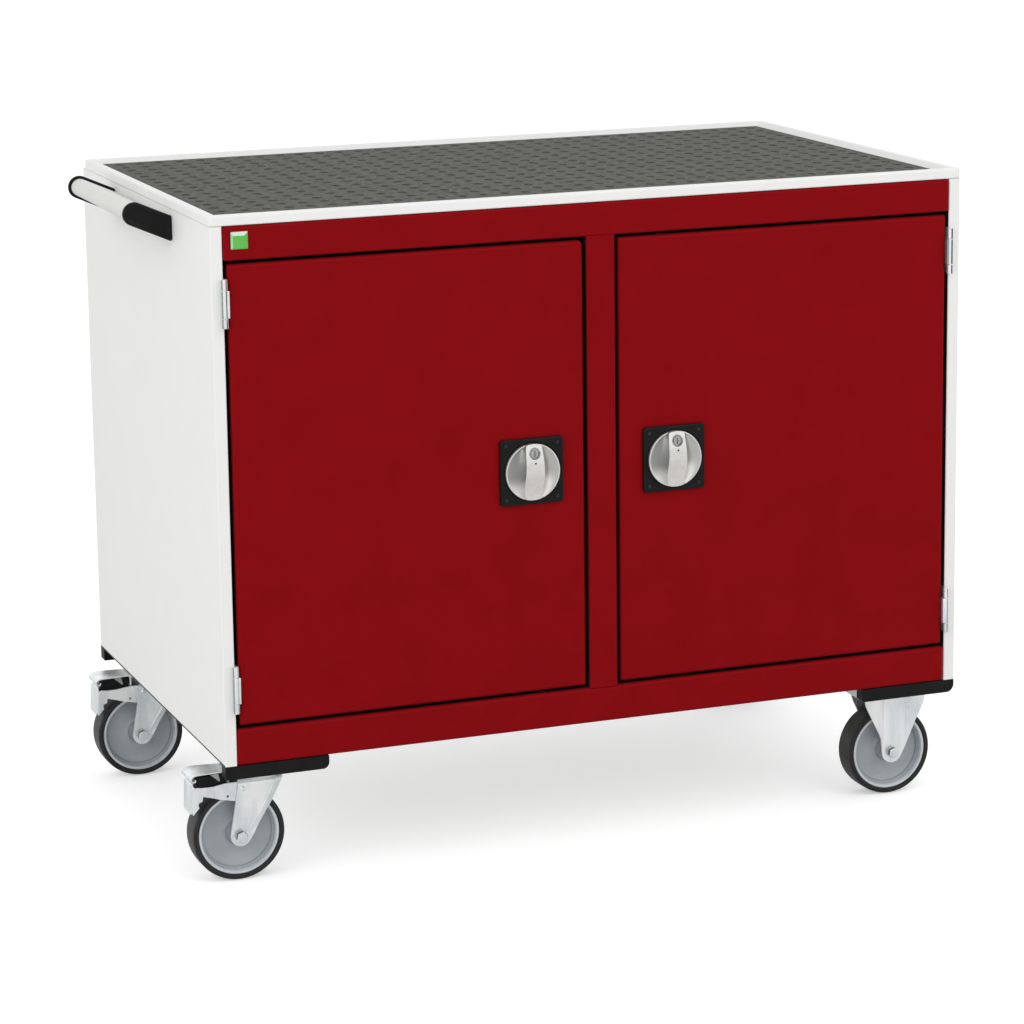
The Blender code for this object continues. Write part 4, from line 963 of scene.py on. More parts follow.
def knob_shape(radius):
    """A knob's skin: a height field over its disc, then its side and its flat back."""
    lip, soft, crown, rows, steps = 1.3 * MM, 0.6 * MM, 0.4 * MM, 64, 14
    flat = radius - soft

    def half_grip(y):
        """Half the grip's width at a height on the disc."""
        share = y / radius + 0.3
        return (13.4 - 2.3 * max(share / 1.3, 0) ** 1.2 - 3.0 * max(-share / 0.7, 0) ** 1.8) * MM

    def scoop_share(x, reach):
        """How far out in the scoop a point is, from the grip (0) to the rim (1)."""
        return min(max(x / max(reach, 0.4 * MM), 0), 1)

    def level(x, y, reach):
        """How high the knob's face is over its back."""
        out = abs(x) - half_grip(y)
        rise = ridge_height(y / radius)
        if out <= 0:
            return KNOB_RIM + rise - crown * max(0, 1 + out / (1.3 * MM)) ** 2
        if flat - math.hypot(x, y) < 0.9 * lip:
            return KNOB_RIM
        share = scoop_share(out, reach)
        return KNOB_RIM - 1.6 * MM * math.sin(math.pi * share) ** 2 + (rise - crown) * (1 - share) ** 3

    def shade(x, y, reach):
        """How much painted shade a point takes: more in the left scoop and towards the grip, less towards
        the lower end, with a painted highlight low in the right scoop.
        """
        share, turn = scoop_share(abs(x) - half_grip(y), reach), y / radius
        if x < 0:
            return 0.68 + 0.22 * (1 - share) - 0.5 * smooth((-0.15 - turn) / 0.5)
        return 0.49 + 0.06 * (1 - share) - 1.2 * smooth((0.05 - turn) / 0.6) * (1 - share)

    shape = bmesh.new()
    scoop_shade_paint = shape.verts.layers.float.new("scoop_shade_paint")
    grid = []
    for row in range(rows + 1):
        angle = math.pi * (0.35 + (rows - 0.7) * row / rows) / rows
        y, chord = -flat * math.cos(angle), flat * math.sin(angle)
        outer = chord - min(lip, 0.3 * chord)
        grip = min(half_grip(y), 0.86 * outer)
        half = [chord, (chord + outer) / 2, 1.004 * outer, 0.996 * outer]
        half += [grip + (outer - grip) * (1 - k / steps) ** 1.25 for k in range(1, steps)]
        half += [share * grip for share in (1.012, 1, 0.975, 0.93, 0.86, 0.7, 0.45, 0.2)]
        reach = outer - half_grip(y)
        line = []
        for x in [-x for x in half] + [0] + half[::-1]:
            vertex = shape.verts.new((x, y, level(x, y, reach)))
            # Painted shade and highlight, stored on each point
            vertex[scoop_shade_paint] = shade(x, y, reach)
            line.append(vertex)
        grid.append(line)
    for row, after in zip(grid, grid[1:]):
        for face in bridge(shape, row, after):
            spot = face.calc_center_median()
            scooped = abs(spot.x) > half_grip(spot.y) and math.hypot(spot.x, spot.y) < flat - lip
            # Faces in the scoops take the material with painted shade
            face.material_index = int(scooped)

    loop = grid[0] + [row[-1] for row in grid[1:]] + grid[-1][-2::-1] + [row[0] for row in grid[-2:0:-1]]
    tops = [vertex.co.copy() for vertex in loop]
    for out, down, keep in ((0.4, 0.16, 1), (0.6, 0.6, 1), (0.6, -0.5, 0), (0.2, 0, 0)):
        ring = []
        for top in tops:
            share = (flat + out * MM) / math.hypot(top.x, top.y)
            ring.append(shape.verts.new((top.x * share, top.y * share, top.z * keep - down * MM)))
        bridge(shape, loop, ring, around=True)
        loop = ring
    shape.faces.new(loop)
    return shape


def make_key_cylinders():
    """Key cylinders: a plug with its slot inside a face ring, and a dust flap below."""
    for word in ("left", "right"):
        node, knob_body = "key_cylinder_" + word, "knob_" + word
        _, high, middle, size = box_of(node)
        _, knob_high, knob, knob_size = box_of("lock_knob_" + word)
        reach = (middle.z - knob.z) / (knob_size.z / 2)
        radius = size.x / 2
        depth = KNOB_RIM + ridge_height(reach) - 0.3 * MM - (knob_high.y - high.y)
        place = at(middle.x, high.y, middle.z, "front")
        profile = [(radius, 0)] + [
            (radius - inset * MM, depth - down * MM) for inset, down in (
                (0, 0.6), (0.3, 0.2), (1.0, 0.2), (1.2, 1.8), (2.1, 1.8), (2.3, 0.5), (2.6, 0.3),
            )
        ] + [(0.6 * MM, depth - 0.2 * MM)]
        key = turned(node, profile, 48, KEY_METAL, place)
        cut(key, *(
            slab("slot", (-x * MM, low_y * MM, depth - 2.5 * MM), (x * MM, high_y * MM, depth + 2 * MM),
                 KEY_METAL, place)
            for x, low_y, high_y in ((0.95, -4.2, 4.2), (2.1, -1.0, 0.4))
        ))
        finish(key, "key_" + word, node, angle=30)

        below = 10.5 * MM
        share, step = reach - below / (knob_size.z / 2), 0.05
        slope = (ridge_height(share + step) - ridge_height(share - step)) / (step * knob_size.z)
        face = at(middle.x, knob_high.y - KNOB_RIM - ridge_height(share), middle.z - below, "front")
        face = face @ Matrix.Rotation(math.atan(slope), 4, "X")
        outline = arc((0, 3.1 * MM), 6.4 * MM, 200, 340, 14) + mm((5.3, 2.6))
        outline += arc((0, 10.5 * MM), 8.6 * MM, 302, 238, 10) + mm((-5.3, 2.6))
        flap = as_piece(
            "key_flap_" + word, plate(outline, 1.1 * MM), SILVER,
            face @ Matrix.Translation((0, 0, -0.6 * MM)),
        )
        pin = turned(
            "flap_pin_" + word, mm((1.2, -0.3), (1.2, 0.8), (0.4, 1.0)), 16, BLACK_ABS,
            face @ Matrix.Translation((0, -2.0 * MM, 0)),
        )
        round_edges(flap, 0.2 * MM, 2, 50)
        finish(flap, knob_body, angle=30)
        finish(pin, knob_body, angle=30)


def make_lock_works():
    """Spindles with their cams, and the locking rods with rounded ends."""
    for word in ("left", "right"):
        node = "latch_spindle_" + word
        _, high, middle, size = box_of(node)
        radius, cam, soft = size.x / 2, 3 * MM, 0.4 * MM
        profile = [
            (radius - soft, 0), (radius, soft), (radius, cam - soft), (radius - soft, cam),
            (5.6 * MM, cam), (5.0 * MM, cam + 0.6 * MM),
            (5.0 * MM, size.y - 0.5 * MM), (4.5 * MM, size.y),
        ]
        spindle = turned(node, profile, 48, ZINC, at(middle.x, high.y, middle.z, "front"))
        finish(spindle, "knob_" + word, node, angle=35)
        for level in ("upper", "lower"):
            ending = level + "_" + word
            node = "lock_rod_" + ending
            _, high, middle, size = box_of(node)
            shape = rounded_plate(size.x / 2, size.z / 2, 3.5 * MM, size.y)
            rod = as_piece(node, shape, ZINC, at(middle.x, high.y, middle.z, "front"))
            round_edges(rod, soft, 2, 50)
            finish(rod, "rod_" + ending, node, angle=30)


# Handle and channels

def make_handle():
    """The push handle: a sheet wrapped round a nose, between two black moulded ends."""
    _, high, _, size = box_of("push_handle")
    cap_low, cap_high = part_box("handle_cap_front")
    slope, radius, arm, proud = 24.0, 15.5 * MM, 49 * MM, 3.8 * MM
    lean = math.cos(math.radians(slope))
    nose = (-arm, arm * math.tan(math.radians(slope)))
    wall_x = cap_high.x
    level = cap_low.z + radius / lean

    def round_nose(inset):
        return arc(nose, radius - inset, 90 - slope, 270 - slope, 28)

    around = round_nose(proud)
    lip = Vector(around[-1]) + 16 * MM * Vector((lean, -math.sin(math.radians(slope))))
    crest = (radius - proud) / lean
    path = rounded_path([(0, crest - 28 * MM), (0, crest), around[0]], 2.2 * MM)[:-1]
    for index, point in enumerate(around):
        angle = math.radians(90 - slope + 180 * index / (len(around) - 1))
        path.append((Vector(point), Vector((math.cos(angle), math.sin(angle)))))
    path.append((lip, path[-1][1]))
    shape = fold_strip(outward(path), 1.5 * MM, size.y)
    piece = as_piece("push_handle", shape, HANDLE_PAINT_SHADED, at(wall_x, high.y, level, "front"))
    round_edges(piece, 0.3 * MM, 2, 60)
    finish(piece, "cabinet", "push_handle")

    def cap_ring(inset, height):
        rise = (radius - inset) / lean
        around = round_nose(inset)
        corners = [around[-1], (-inset, -rise), (-inset, rise), around[0]]
        foot = [tuple(point) for point, _ in rounded_path(corners, 2.4 * MM)[1:-1]]
        return [(x, y, height) for x, y in around + foot]

    for word in ("front", "rear"):
        node = "handle_cap_" + word
        _, far, _, cap_size = box_of(node)
        thick = cap_size.y
        section = [(0.5 * MM, 0), (0, 0.5 * MM)] + [(inset * MM, thick - down * MM) for inset, down in (
            (0, 2.4), (0.35, 1.5), (1.1, 0.6), (2.1, 0.15), (3.1, 0), (4.0, 0.3), (5.4, 1.1), (9.0, 1.5),
        )]
        rings = [
            cap_ring(inset, height if word == "front" else thick - height) for inset, height in section
        ]
        cap = as_piece(node, loft(rings), BLACK_ABS, at(wall_x, far.y, level, "front"))
        finish(cap, "cabinet", node, angle=32)


def outward(path):
    """The path with each normal turned to the right of the way it runs."""
    made = []
    for index, (point, normal) in enumerate(path):
        way = path[min(index + 1, len(path) - 1)][0] - path[max(index - 1, 0)][0]
        made.append((point, normal if normal.dot(right_of(way)) > 0 else -normal))
    return made


def make_channels():
    """Castor channels, and the black moulded caps on their ends."""
    for word, corners in (("left", (1.6, 9)), ("right", (3, 11))):
        node = "castor_channel_" + word
        low, high, _, size = box_of(node)
        path = [(low.x, high.z), (low.x, low.z), (high.x, low.z), (high.x, high.z)]
        shape = fold_strip(rounded_path(path, 3.2 * MM), 2.5 * MM, size.y)
        piece = as_piece(node, shape, GREY_PAINT, at(0, high.y, 0, "front"))
        finish(piece, "cabinet", node)
        for end in ("front", "rear"):
            node = "channel_cap_" + end + "_" + word
            low, high, _, size = box_of(node)
            west, east = (corner * MM for corner in corners)
            outline = [(high.x, high.z), (low.x, high.z)]
            outline += arc((low.x + west, low.z + west), west, 180, 270, 8)
            outline += arc((high.x - east, low.z + east), east, 270, 360, 8)
            cap = as_piece(node, plate(outline, size.y), BLACK_ABS, at(0, high.y, 0, "front"))
            round_edges(cap, 1.1 * MM, 3, 50)
            finish(cap, "cabinet", node, angle=30)


# Castors

def mirrored_profile(*side):
    """A wheel part's profile: the given side in millimetres, and its mirror."""
    profile = mm(*side)
    return profile + [(radius, -level) for radius, level in reversed(profile)]


def make_wheel(ending):
    """A dished nylon hub with a raised rim ring, in a rubber tyre."""
    middle = box_of("tyre_" + ending)[2]
    place = at(middle.x, middle.y, middle.z, "front")
    body = "wheel_" + ending

    def out_mm(face):
        return math.hypot(face.center.x - middle.x, face.center.z - middle.z) / MM

    tyre = turned("tyre_" + ending, mirrored_profile(
        (55.05, 16.6), (55.3, 17.6), (56.2, 18.5), (57.4, 18.95), (59.2, 18.8), (60.4, 18.2),
        (61.4, 17.2), (62.0, 15.9), (62.3, 13.5), (62.45, 8.0), (62.5, 3.0),
    ), 96, [TYRE_SIDE, TYRE_TREAD], place, ring=True)
    # The tread is drawn lighter than the sides: partly dust from rolling, partly a painted reflection of
    # the floor
    for face in tyre.data.polygons:
        face.material_index = int(out_mm(face) > 61.6)
    finish(tyre, body, "tyre_" + ending)

    hub = turned("wheel_hub_" + ending, mirrored_profile(
        (4.3, 22.5), (11.6, 22.5), (12.6, 22.1), (13.0, 21.2), (13.3, 13.5), (13.9, 12.4), (15.2, 11.8),
        (16.0, 10.8), (16.8, 6.6), (18.8, 4.2), (23.0, 2.9), (29.0, 2.5), (35.0, 2.8), (41.5, 3.4),
        (45.2, 4.4), (46.6, 5.6), (47.5, 7.6), (48.3, 8.7), (49.3, 9.8), (50.4, 12.6), (50.9, 15.6),
        (51.3, 16.7), (52.2, 17.0), (53.8, 17.0), (54.5, 16.5), (54.7, 15.6),
    ), 96, [HUB_NYLON, HUB_RIM_PAINTED_HIGHLIGHT, HUB_PAINTED_SHADE], place, ring=True)
    for face in hub.data.polygons:
        out = out_mm(face)
        # Painted shade in the fillet round the boss and in the groove inside the rim
        shaded_ring = 13.1 < out < 17.2 or 46.0 < out < 47.4
        # The raised rim ring is glossier, and its lighter colour is a painted highlight
        face.material_index = 2 if shaded_ring else int(out > 50.6)
    finish(hub, body, "wheel_hub_" + ending)


def span_at(outline, level):
    """Where an outline begins and ends across a level."""
    crossings = []
    for (x0, z0), (x1, z1) in zip(outline, outline[1:] + outline[:1]):
        if (z0 - level) * (z1 - level) <= 0 and z0 != z1:
            crossings.append(x0 + (x1 - x0) * (level - z0) / (z1 - z0))
    return min(crossings), max(crossings)


def footed_outline(radius, points):
    """An outline with a round foot about the axle, tangent to its first and last points."""
    def direction(point, side):
        return math.atan2(point[1], point[0]) + side * math.acos(radius / math.hypot(*point))

    start = math.degrees(direction(points[0], -1))
    end = math.degrees(direction(points[-1], 1)) - 360
    return arc((0, 0), radius, start, end, 40)[::-1] + list(points)


def press_fork(outline, foot, top, bend, spread, wing):
    """A fork pressed from one sheet: leg, bend, crown, bend, leg, as a closed shell.

    The outline is a leg's, seen from the side. spread(low x, high x) gives the columns there,
    and wing(x, low x, high x, leg share) how far the sheet is pressed inwards.
    """
    angles = (*range(4, 89, 12), 102, 118)
    levels = [-foot * math.cos(math.radians(angle)) for angle in angles]
    rise = levels[-1]
    straight = top - bend
    levels += [rise + (straight - rise) * k / 12 for k in range(1, 13)]
    rows = [(-FORK_HALF, level, (0, 1), 1.0) for level in levels]
    for k in range(1, 7):
        angle = math.radians(90 * k / 6)
        rows.append((
            -FORK_HALF + bend * (1 - math.cos(angle)), straight + bend * math.sin(angle),
            (math.sin(angle), math.cos(angle)), 1 - k / 6,
        ))
    rows += [(-FORK_HALF * k / 4, top, (1, 0), 0.0) for k in (2, 0)]
    rows += [(-y, z, (up, -side), share) for y, z, (up, side), share in reversed(rows[:-1])]

    shape = bmesh.new()
    outer, inner = [], []
    for y, z, (up, side), share in rows:
        low_x, high_x = span_at(outline, min(z, top - 0.02 * MM))
        outer_row, inner_row = [], []
        for x in spread(low_x, high_x):
            inward = wing(x, low_x, high_x, share)
            for row, depth in ((outer_row, inward), (inner_row, inward + FORK_SHEET)):
                row.append(shape.verts.new((x, y + depth * side, z - depth * up)))
        outer.append(outer_row)
        inner.append(inner_row)
    for grid in (outer, inner):
        for row, after in zip(grid, grid[1:]):
            bridge(shape, row, after)
    for k in (0, -1):
        bridge(shape, outer[k], inner[k])
    for k in (0, -1):
        bridge(shape, [row[k] for row in outer], [row[k] for row in inner])
    return shape


def knots(stops, counts):
    """Columns between the stops, with so many steps in each span, kept in order."""
    columns = []
    for start, end, count in zip(stops, stops[1:], counts):
        columns += [start + (end - start) * k / count for k in range(count)]
    return columns + [stops[-1]]


def make_axle(ending, body, middle):
    """The axle bolt: a hexagon head behind, a nut and the bolt's end in front."""
    flats = mm((6.6, 0), (7.75, 0.7), (7.75, 7.0), (6.9, 7.7), (4.6, 7.8))
    for name, facing, end in (("axle_nut_", "front", -1), ("axle_head_", "back", 1)):
        place = at(middle.x, middle.y + end * (FORK_HALF + 0.05 * MM), middle.z, facing)
        askew = Matrix.Rotation(math.radians(20), 4, "Z")
        nut = turned(name + ending, flats, 6, [ZINC, ZINC_PAINTED_SHADE], place @ askew)
        # The nut's flanks take a painted shade
        for face in nut.data.polygons:
            face.material_index = int(abs(face.normal.y) < 0.5)
        finish(nut, body, angle=20)
    thread = [(3.2 * MM, -2 * FORK_HALF - 3 * MM), (3.9 * MM, -2 * FORK_HALF - 2 * MM)]
    thread += mm((3.9, 7.9), (3.7, 8.2), (3.1, 8.4))
    place = at(middle.x, middle.y - FORK_HALF, middle.z, "front")
    finish(turned("axle_bolt_" + ending, thread, 32, ZINC, place), body, angle=35)


def make_swivel_castor(word):
    """Top plate with its race, the swivelling fork and its crown, and the brake."""
    ending = word + "_left"
    body, fork_node, plate_node = "swivel_" + word, "swivel_fork_" + ending, "swivel_plate_" + ending
    wheel = box_of("tyre_" + ending)[2]
    plate_low, plate_high, plate_middle, plate_size = box_of(plate_node)
    crown_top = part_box(fork_node)[1].z
    axis = Matrix.Translation((plate_middle.x, plate_middle.y, 0))
    foot, fold_in = 14 * MM, 11 * MM

    top = crown_top - 3.5 * MM - wheel.z
    points = mm((44, 42.5), (52.5, 59.5), (57.4, 69))
    points += [(59.8 * MM, top - 1 * MM), (60 * MM, top), (-1.8 * MM, top), (-1.8 * MM, 0.93 * top)]

    def spread(low_x, high_x):
        fold = high_x - min(fold_in, 0.45 * (high_x - low_x))
        soft = min(1.6 * MM, 0.1 * (high_x - low_x))
        return knots([low_x, fold - soft, fold + soft, high_x], (10, 8, 7))

    def wing(x, low_x, high_x, share):
        past = x - (high_x - fold_in)
        broad = smooth((high_x - low_x - 30 * MM) / (8 * MM))
        groove = 0.9 * MM * math.exp(-(past / (0.7 * MM)) ** 2)
        nose = smooth((x - (high_x - 20 * MM)) / (20 * MM)) * 3.0 * MM
        return (max(past, 0) * 0.33 + groove) * broad * share + nose * (1 - share)

    shape = press_fork(footed_outline(foot, points), foot, top, 8 * MM, spread, wing)
    fork = as_piece(fork_node, shape, ZINC, Matrix.Translation(wheel))
    round_edges(fork, 0.5 * MM, 2, 50)
    finish(fork, body, fork_node, angle=30)

    base, bore = wheel.z + top - 1.0 * MM, 10 * MM
    crown = turned("swivel_crown_" + ending, [
        (bore, base), (27 * MM, base), (26.6 * MM, base + 1.6 * MM), (25.2 * MM, crown_top - 0.9 * MM),
        (23.6 * MM, crown_top), (bore, crown_top),
    ], 64, ZINC, axis, ring=True)
    finish(crown, body, angle=35)

    race_low, race_high = plate_low.z, plate_high.z - 1.5 * MM
    top_plate = as_piece(
        plate_node, rounded_plate(plate_size.x / 2, plate_size.y / 2, 6 * MM, FORK_SHEET), ZINC,
        Matrix.Translation((plate_middle.x, plate_middle.y, plate_high.z - FORK_SHEET)),
    )
    race = turned("race", [
        (bore, race_high), (28 * MM, race_high), (28 * MM, plate_high.z - 5 * MM),
        (27.4 * MM, race_low + 2.2 * MM), (25.8 * MM, race_low + 0.8 * MM), (23.5 * MM, race_low),
        (bore, race_low),
    ], 64, ZINC, axis, ring=True)
    join(top_plate, [race])
    round_edges(top_plate, 0.4 * MM, 2, 60)
    finish(top_plate, "cabinet", plate_node, angle=35)
    make_axle(ending, body, wheel)
    dome = mm((3.6, -0.3), (3.6, 0.35), (3.1, 1.0), (1.8, 1.5), (1.2, 0.5), (0.4, 0.4))
    for facing, end in (("front", -1), ("back", 1)):
        place = at(wheel.x + 4 * MM, wheel.y + end * FORK_HALF, wheel.z + 64 * MM, facing)
        finish(turned("pedal_rivet_" + facing + "_" + ending, dome, 24, ZINC, place), body, angle=35)
    make_pedal(word, wheel)


def make_fixed_castor(word):
    """A fixed castor's fork: pressed legs with swept wings under a top plate."""
    ending = word + "_right"
    node = "fixed_fork_" + ending
    wheel = box_of("tyre_" + ending)[2]
    _, high, _, size = box_of(node)
    foot, west, east = 15 * MM, -14.5 * MM, 20.5 * MM
    top = high.z - wheel.z
    points = mm((49.5, 63), (51.6, 68.5), (52.3, 75)) + [(52.3 * MM, top), (-41 * MM, top)]
    points += mm((-39.5, 72), (-38, 67), (-17, 22))

    def spread(low_x, high_x):
        west_fold, east_fold = max(west, 0.86 * low_x), min(east, 0.86 * high_x)
        soft = min(1.0 * MM, 0.06 * (high_x - low_x))
        return knots([
            low_x, west_fold - soft, west_fold + soft, east_fold - soft, east_fold + soft, high_x,
        ], (5, 8, 6, 8, 6))

    def wing(x, low_x, high_x, share):
        swept = max(west - x, 0) * 0.24 + max(x - east, 0) * 0.22
        crease = 1.3 * MM * math.exp(-((x - west) / (0.55 * MM)) ** 2)
        crease *= smooth((west - low_x) / (2 * MM))
        valley = 1.1 * MM * math.exp(-((x - east) / (1.3 * MM)) ** 2)
        valley *= smooth((high_x - east) / (12 * MM))
        return (min(swept, 3.9 * MM) + crease + valley) * share

    shape = press_fork(footed_outline(foot, points), foot, top, 7 * MM, spread, wing)
    fork = as_piece(node, shape, ZINC, Matrix.Translation(wheel))
    flange = as_piece(
        "flange", rounded_plate(size.x / 2, 42.5 * MM, 6 * MM, FORK_SHEET), ZINC,
        Matrix.Translation((wheel.x, wheel.y, high.z - FORK_SHEET)),
    )
    join(fork, [flange])
    round_edges(fork, 0.5 * MM, 2, 60)
    finish(fork, "cabinet", node, angle=30)
    make_axle(ending, "cabinet", wheel)


def press_strip(path, sheet):
    """A strip of sheet along a path of (x, z, half width), as a closed shell about y = 0."""
    shape = bmesh.new()
    rows = []
    for index, (x, z, half) in enumerate(path):
        before, after = path[max(index - 1, 0)], path[min(index + 1, len(path) - 1)]
        right = right_of(Vector((after[0] - before[0], after[1] - before[1])).normalized())
        rows.append([
            [shape.verts.new((x - right.x * depth, half * part, z - right.y * depth))
             for part in (-1, -0.6, -0.2, 0.2, 0.6, 1)]
            for depth in (0, sheet)
        ])
    for before, after in zip(rows, rows[1:]):
        for layer in (0, 1):
            bridge(shape, before[layer], after[layer])
        for k in (0, -1):
            bridge(shape, [before[0][k], after[0][k]], [before[1][k], after[1][k]])
    for row in (rows[0], rows[-1]):
        bridge(shape, row[0], row[1])
    return shape


def eased_points(points, steps=5):
    """A smooth run through points, by a Catmull-Rom spline."""
    made = []
    padded = [points[0]] + list(points) + [points[-1]]
    for p0, p1, p2, p3 in zip(padded, padded[1:], padded[2:], padded[3:]):
        for step in range(steps):
            t = step / steps
            made.append(tuple(
                0.5 * ((2 * b) + (c - a) * t + (2 * a - 5 * b + 4 * c - d) * t * t
                       + (3 * b - a - 3 * c + d) * t ** 3)
                for a, b, c, d in zip(p0, p1, p2, p3)
            ))
    made.append(tuple(points[-1]))
    return made


def make_pedal(word, wheel):
    """The brake pedal: a curled tread between two pressed cheeks, and a toe plate ahead of the tyre."""
    node, body = "brake_pedal_" + word + "_left", "pedal_" + word
    half = box_of(node)[3].y / 2
    place = Matrix.Translation(wheel)

    def strip(name, stations, steps):
        points = eased_points([(x * MM, z * MM, y * MM) for x, z, y in stations], steps)
        return as_piece(name, press_strip(points, 1.9 * MM), ZINC, place)

    def across(name, low_x, high_x, low_z, high_z, half_width):
        corners = ((x * MM, y, z * MM) for x, y, z in (
            (low_x, -half_width, low_z), (high_x, half_width, high_z),
        ))
        return slab(name, *corners, ZINC, place)

    tread = strip(node, [
        (-10, 88.2, 18), (-30, 88.4, 19.5), (-48, 88.4, 21), (-56, 88.2, 21.6),
        (-61, 86.9, 21.8), (-64.2, 83.8, 21.8), (-64.6, 80.2, 21.8), (-61.8, 77.6, 21.6),
        (-58.2, 77.6, 21.2), (-56.4, 80.6, 21),
    ], 5)
    toe = strip("pedal_toe_" + word, [
        (-58.2, 74.2, 16), (-60.6, 74.0, 17.5), (-62.0, 71.6, 19), (-62.2, 66, 20.6), (-63.4, 41, 20.6),
        (-64.0, 36.4, 19.5), (-64.2, 33.6, 15),
    ], 4)
    web = across("pedal_web_" + word, -14, -11.5, 64, 87, 17 * MM)
    join(web, [
        across("shelf", *span, half - 2.1 * MM) for span in ((-14, -8, 66, 68.4), (-46, -27, 62, 63.6))
    ])
    pieces = [(tread, (node,)), (toe, ()), (web, ())]

    cheek = mm(
        (-61.8, 69.2), (-58.6, 69.2), (-57.4, 71.2), (-50, 70), (-35, 70), (-20, 72.4), (0, 72.7),
        (7, 72), (11.2, 67), (11.2, 60), (7, 52), (0, 47.6), (-6, 47.2), (-26, 51.2), (-35, 54.3),
        (-48.5, 58), (-49.8, 51.4), (-54.4, 50), (-55.2, 46.6), (-54, 43.4), (-62.0, 34.4), (-63.2, 34.4),
    )
    for facing, end in (("front", -1), ("back", 1)):
        outline = cheek if facing == "front" else [(-x, z) for x, z in cheek]
        side = at(wheel.x, wheel.y + end * (half - 2 * MM), wheel.z, facing)
        spot = side @ Matrix.Translation((end * 15.5 * MM, 54.6 * MM, 0))
        hole = turned("hole", mm((1.5, -2), (1.5, 4)), 20, ZINC, spot)
        piece = as_piece("pedal_cheek_" + facing + "_" + word, plate(outline, 2 * MM), ZINC, side)
        pieces.append((cut(piece, hole), ()))
    for piece, nodes in pieces:
        round_edges(piece, 0.35 * MM, 2, 55)
        finish(piece, body, *nodes, angle=38)

    # A black block inside the pedal, as painted shade in its hollow
    inset = 3.5 * MM
    cam = as_piece("brake_cam_" + word, plate(mm(
        (-53, 84), (-30, 85.4), (-16, 85.4), (-16, 71), (-28, 68.6), (-53, 66.6), (-59.6, 70),
    ), 2 * (half - inset)), BLACK_ABS, at(wheel.x, wheel.y + half - inset, wheel.z, "front"))
    round_edges(cam, 1.5 * MM, 3, 30)
    spring = as_piece(
        "brake_spring_" + word, plate(mm((-38, 86), (-26, 75.5), (-24.6, 76.4), (-27, 86)), 0.8 * MM),
        WORN_AND_SHADED_ZINC, at(wheel.x, wheel.y - half + 3.6 * MM, wheel.z, "front"),
    )
    finish(cam, body, angle=30)
    finish(spring, body, angle=30)


# Studio

def new_nodes(holder):
    """A material's or world's node tree, switched on."""
    holder.use_nodes = True
    return holder.node_tree


def make_floor():
    """A pale matt floor, lifted a little for the camera only."""
    shape = bmesh.new()
    bmesh.ops.create_grid(shape, x_segments=1, y_segments=1, size=40)
    material = bpy.data.materials.new("studio_floor_paint")
    tree = new_nodes(material)
    shader = tree.nodes["Principled BSDF"]
    ray = add_node(tree, "ShaderNodeLightPath").outputs["Is Camera Ray"]
    lift = add_node(tree, "ShaderNodeMath", {"operation": "MULTIPLY"}, {0: ray, 1: 0.40})
    for key, value in (
        ("Base Color", (0.82, 0.82, 0.82, 1)), ("Roughness", 0.9), ("Specular IOR Level", 0.1),
        ("Emission Color", (1, 1, 1, 1)),
    ):
        shader.inputs[key].default_value = value
    tree.links.new(lift.outputs[0], shader.inputs["Emission Strength"])
    as_piece("studio_floor", shape, material, Matrix.Translation((0, 0, -0.2 * MM)))


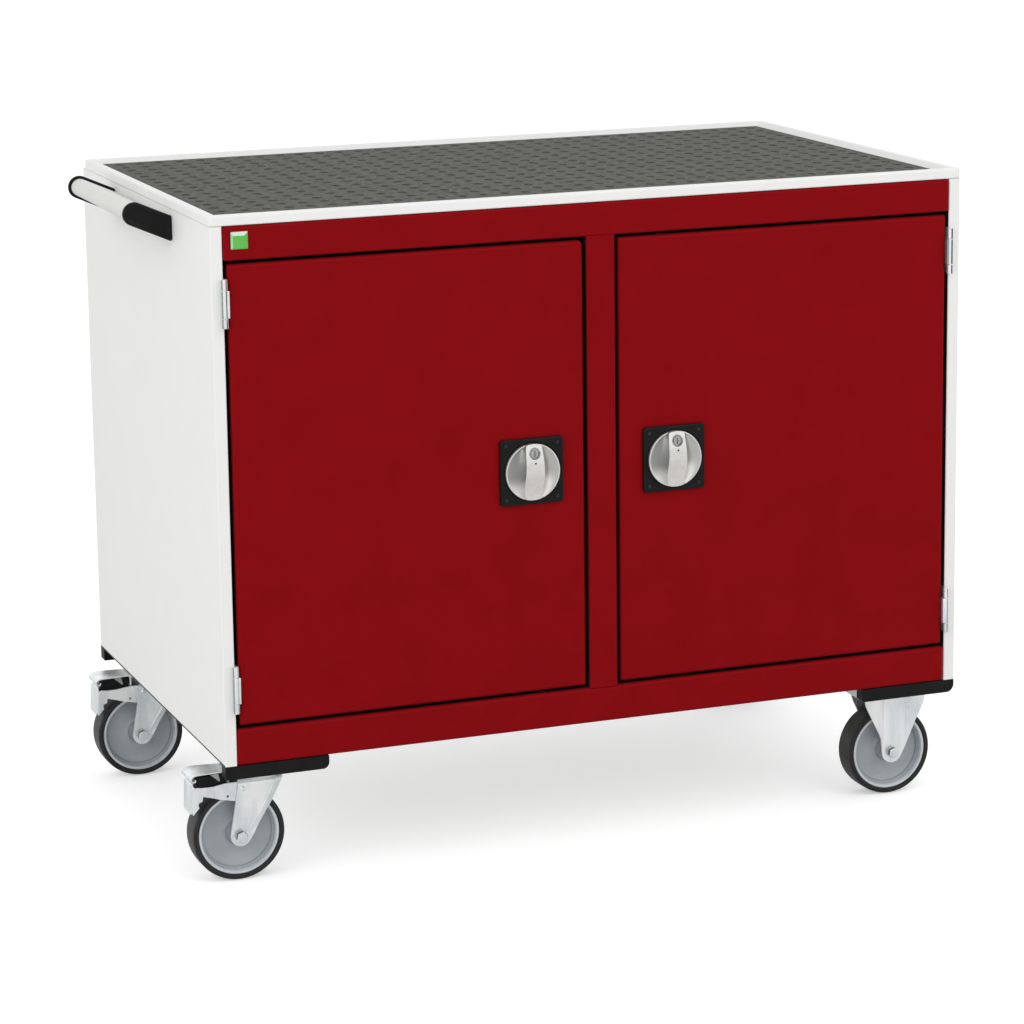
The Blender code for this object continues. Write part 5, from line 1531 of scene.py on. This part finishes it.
def make_sky():
    """White to the camera and in reflections, and a soft sky for the light, dimmer low and overhead."""
    world = bpy.data.worlds.new("studio")
    SCENE.world = world
    tree = new_nodes(world)
    tree.nodes.clear()
    path = add_node(tree, "ShaderNodeLightPath").outputs
    seen = path["Is Camera Ray"]
    for ray in ("Is Glossy Ray", "Is Transmission Ray"):
        either = add_node(tree, "ShaderNodeMath", {"operation": "MAXIMUM"}, {0: seen, 1: path[ray]})
        seen = either.outputs[0]
    spot = add_node(tree, "ShaderNodeTexCoord").outputs["Generated"]
    height = add_node(tree, "ShaderNodeSeparateXYZ", inputs={"Vector": spot}).outputs["Z"]
    sky, zenith = (
        add_node(tree, "ShaderNodeMapRange", {"interpolation_type": "SMOOTHSTEP"}, {
            "Value": height, "From Min": low, "From Max": high, "To Min": start, "To Max": end,
        }).outputs["Result"]
        for low, high, start, end in ((0.02, 0.35, 0.15, 1.26), (0.4, 1.0, 1.0, 0.45))
    )
    soft = add_node(tree, "ShaderNodeMath", {"operation": "MULTIPLY"}, {0: sky, 1: zenith})
    strength = add_node(tree, "ShaderNodeMapRange", inputs={
        "Value": seen, "To Min": soft.outputs[0], "To Max": 1.0,
    })
    light = add_node(tree, "ShaderNodeBackground", inputs={
        "Color": (1, 1, 1, 1), "Strength": strength.outputs["Result"],
    })
    add_node(tree, "ShaderNodeOutputWorld", inputs={"Surface": light.outputs[0]})


def make_lamps():
    """A key softbox on the right and a fill softbox on the left, both turned to the cabinet."""
    aim = Vector((0, 0, 0.5))
    for name, spot, power in (
        ("key_softbox", (1.2, -2.4, 2.9), 22), ("fill_softbox", (-3.0, -1.6, 1.9), 24),
    ):
        lamp = bpy.data.lights.new(name, "AREA")
        lamp.shape, lamp.size, lamp.energy = "SQUARE", 2.4, power
        holder = bpy.data.objects.new(name, lamp)
        SCENE.collection.objects.link(holder)
        holder.location = spot
        holder.rotation_euler = (aim - Vector(spot)).to_track_quat("-Z", "Y").to_euler()


def make_camera():
    """The camera: a long lens from the front left, a little above the worktop."""
    yaw, pitch, roll = (math.radians(angle) for angle in CAMERA_TURN)
    forward = Vector((math.sin(yaw) * math.cos(pitch), math.cos(yaw) * math.cos(pitch), -math.sin(pitch)))
    right = Vector((math.cos(yaw), -math.sin(yaw), 0))
    up = right.cross(forward)
    across = math.cos(roll) * right + math.sin(roll) * up
    above = -math.sin(roll) * right + math.cos(roll) * up
    camera = bpy.data.cameras.new("camera")
    camera.sensor_width, camera.lens, camera.shift_y = 36, CAMERA_LENS, CAMERA_SHIFT
    camera.clip_end = 100
    viewer = bpy.data.objects.new("camera", camera)
    SCENE.collection.objects.link(viewer)
    way = Matrix((across, above, -forward)).transposed().to_4x4()
    viewer.matrix_world = Matrix.Translation(CAMERA_PLACE) @ way
    SCENE.camera = viewer


def make_studio():
    """Pale floor, soft light all round, and the camera."""
    make_floor()
    make_sky()
    make_lamps()
    make_camera()
    SCENE.view_settings.view_transform = "Standard"


make_side_panels()
make_cabinet()
make_front_frame()
make_door_gap_shades()
make_tray()
make_mat()
make_badge()
make_doors()
make_hinges()
make_escutcheons()
make_knobs()
make_key_cylinders()
make_lock_works()
make_handle()
make_channels()
for place_word in ("front", "rear"):
    make_swivel_castor(place_word)
    make_fixed_castor(place_word)
    make_wheel(place_word + "_left")
    make_wheel(place_word + "_right")
make_studio()
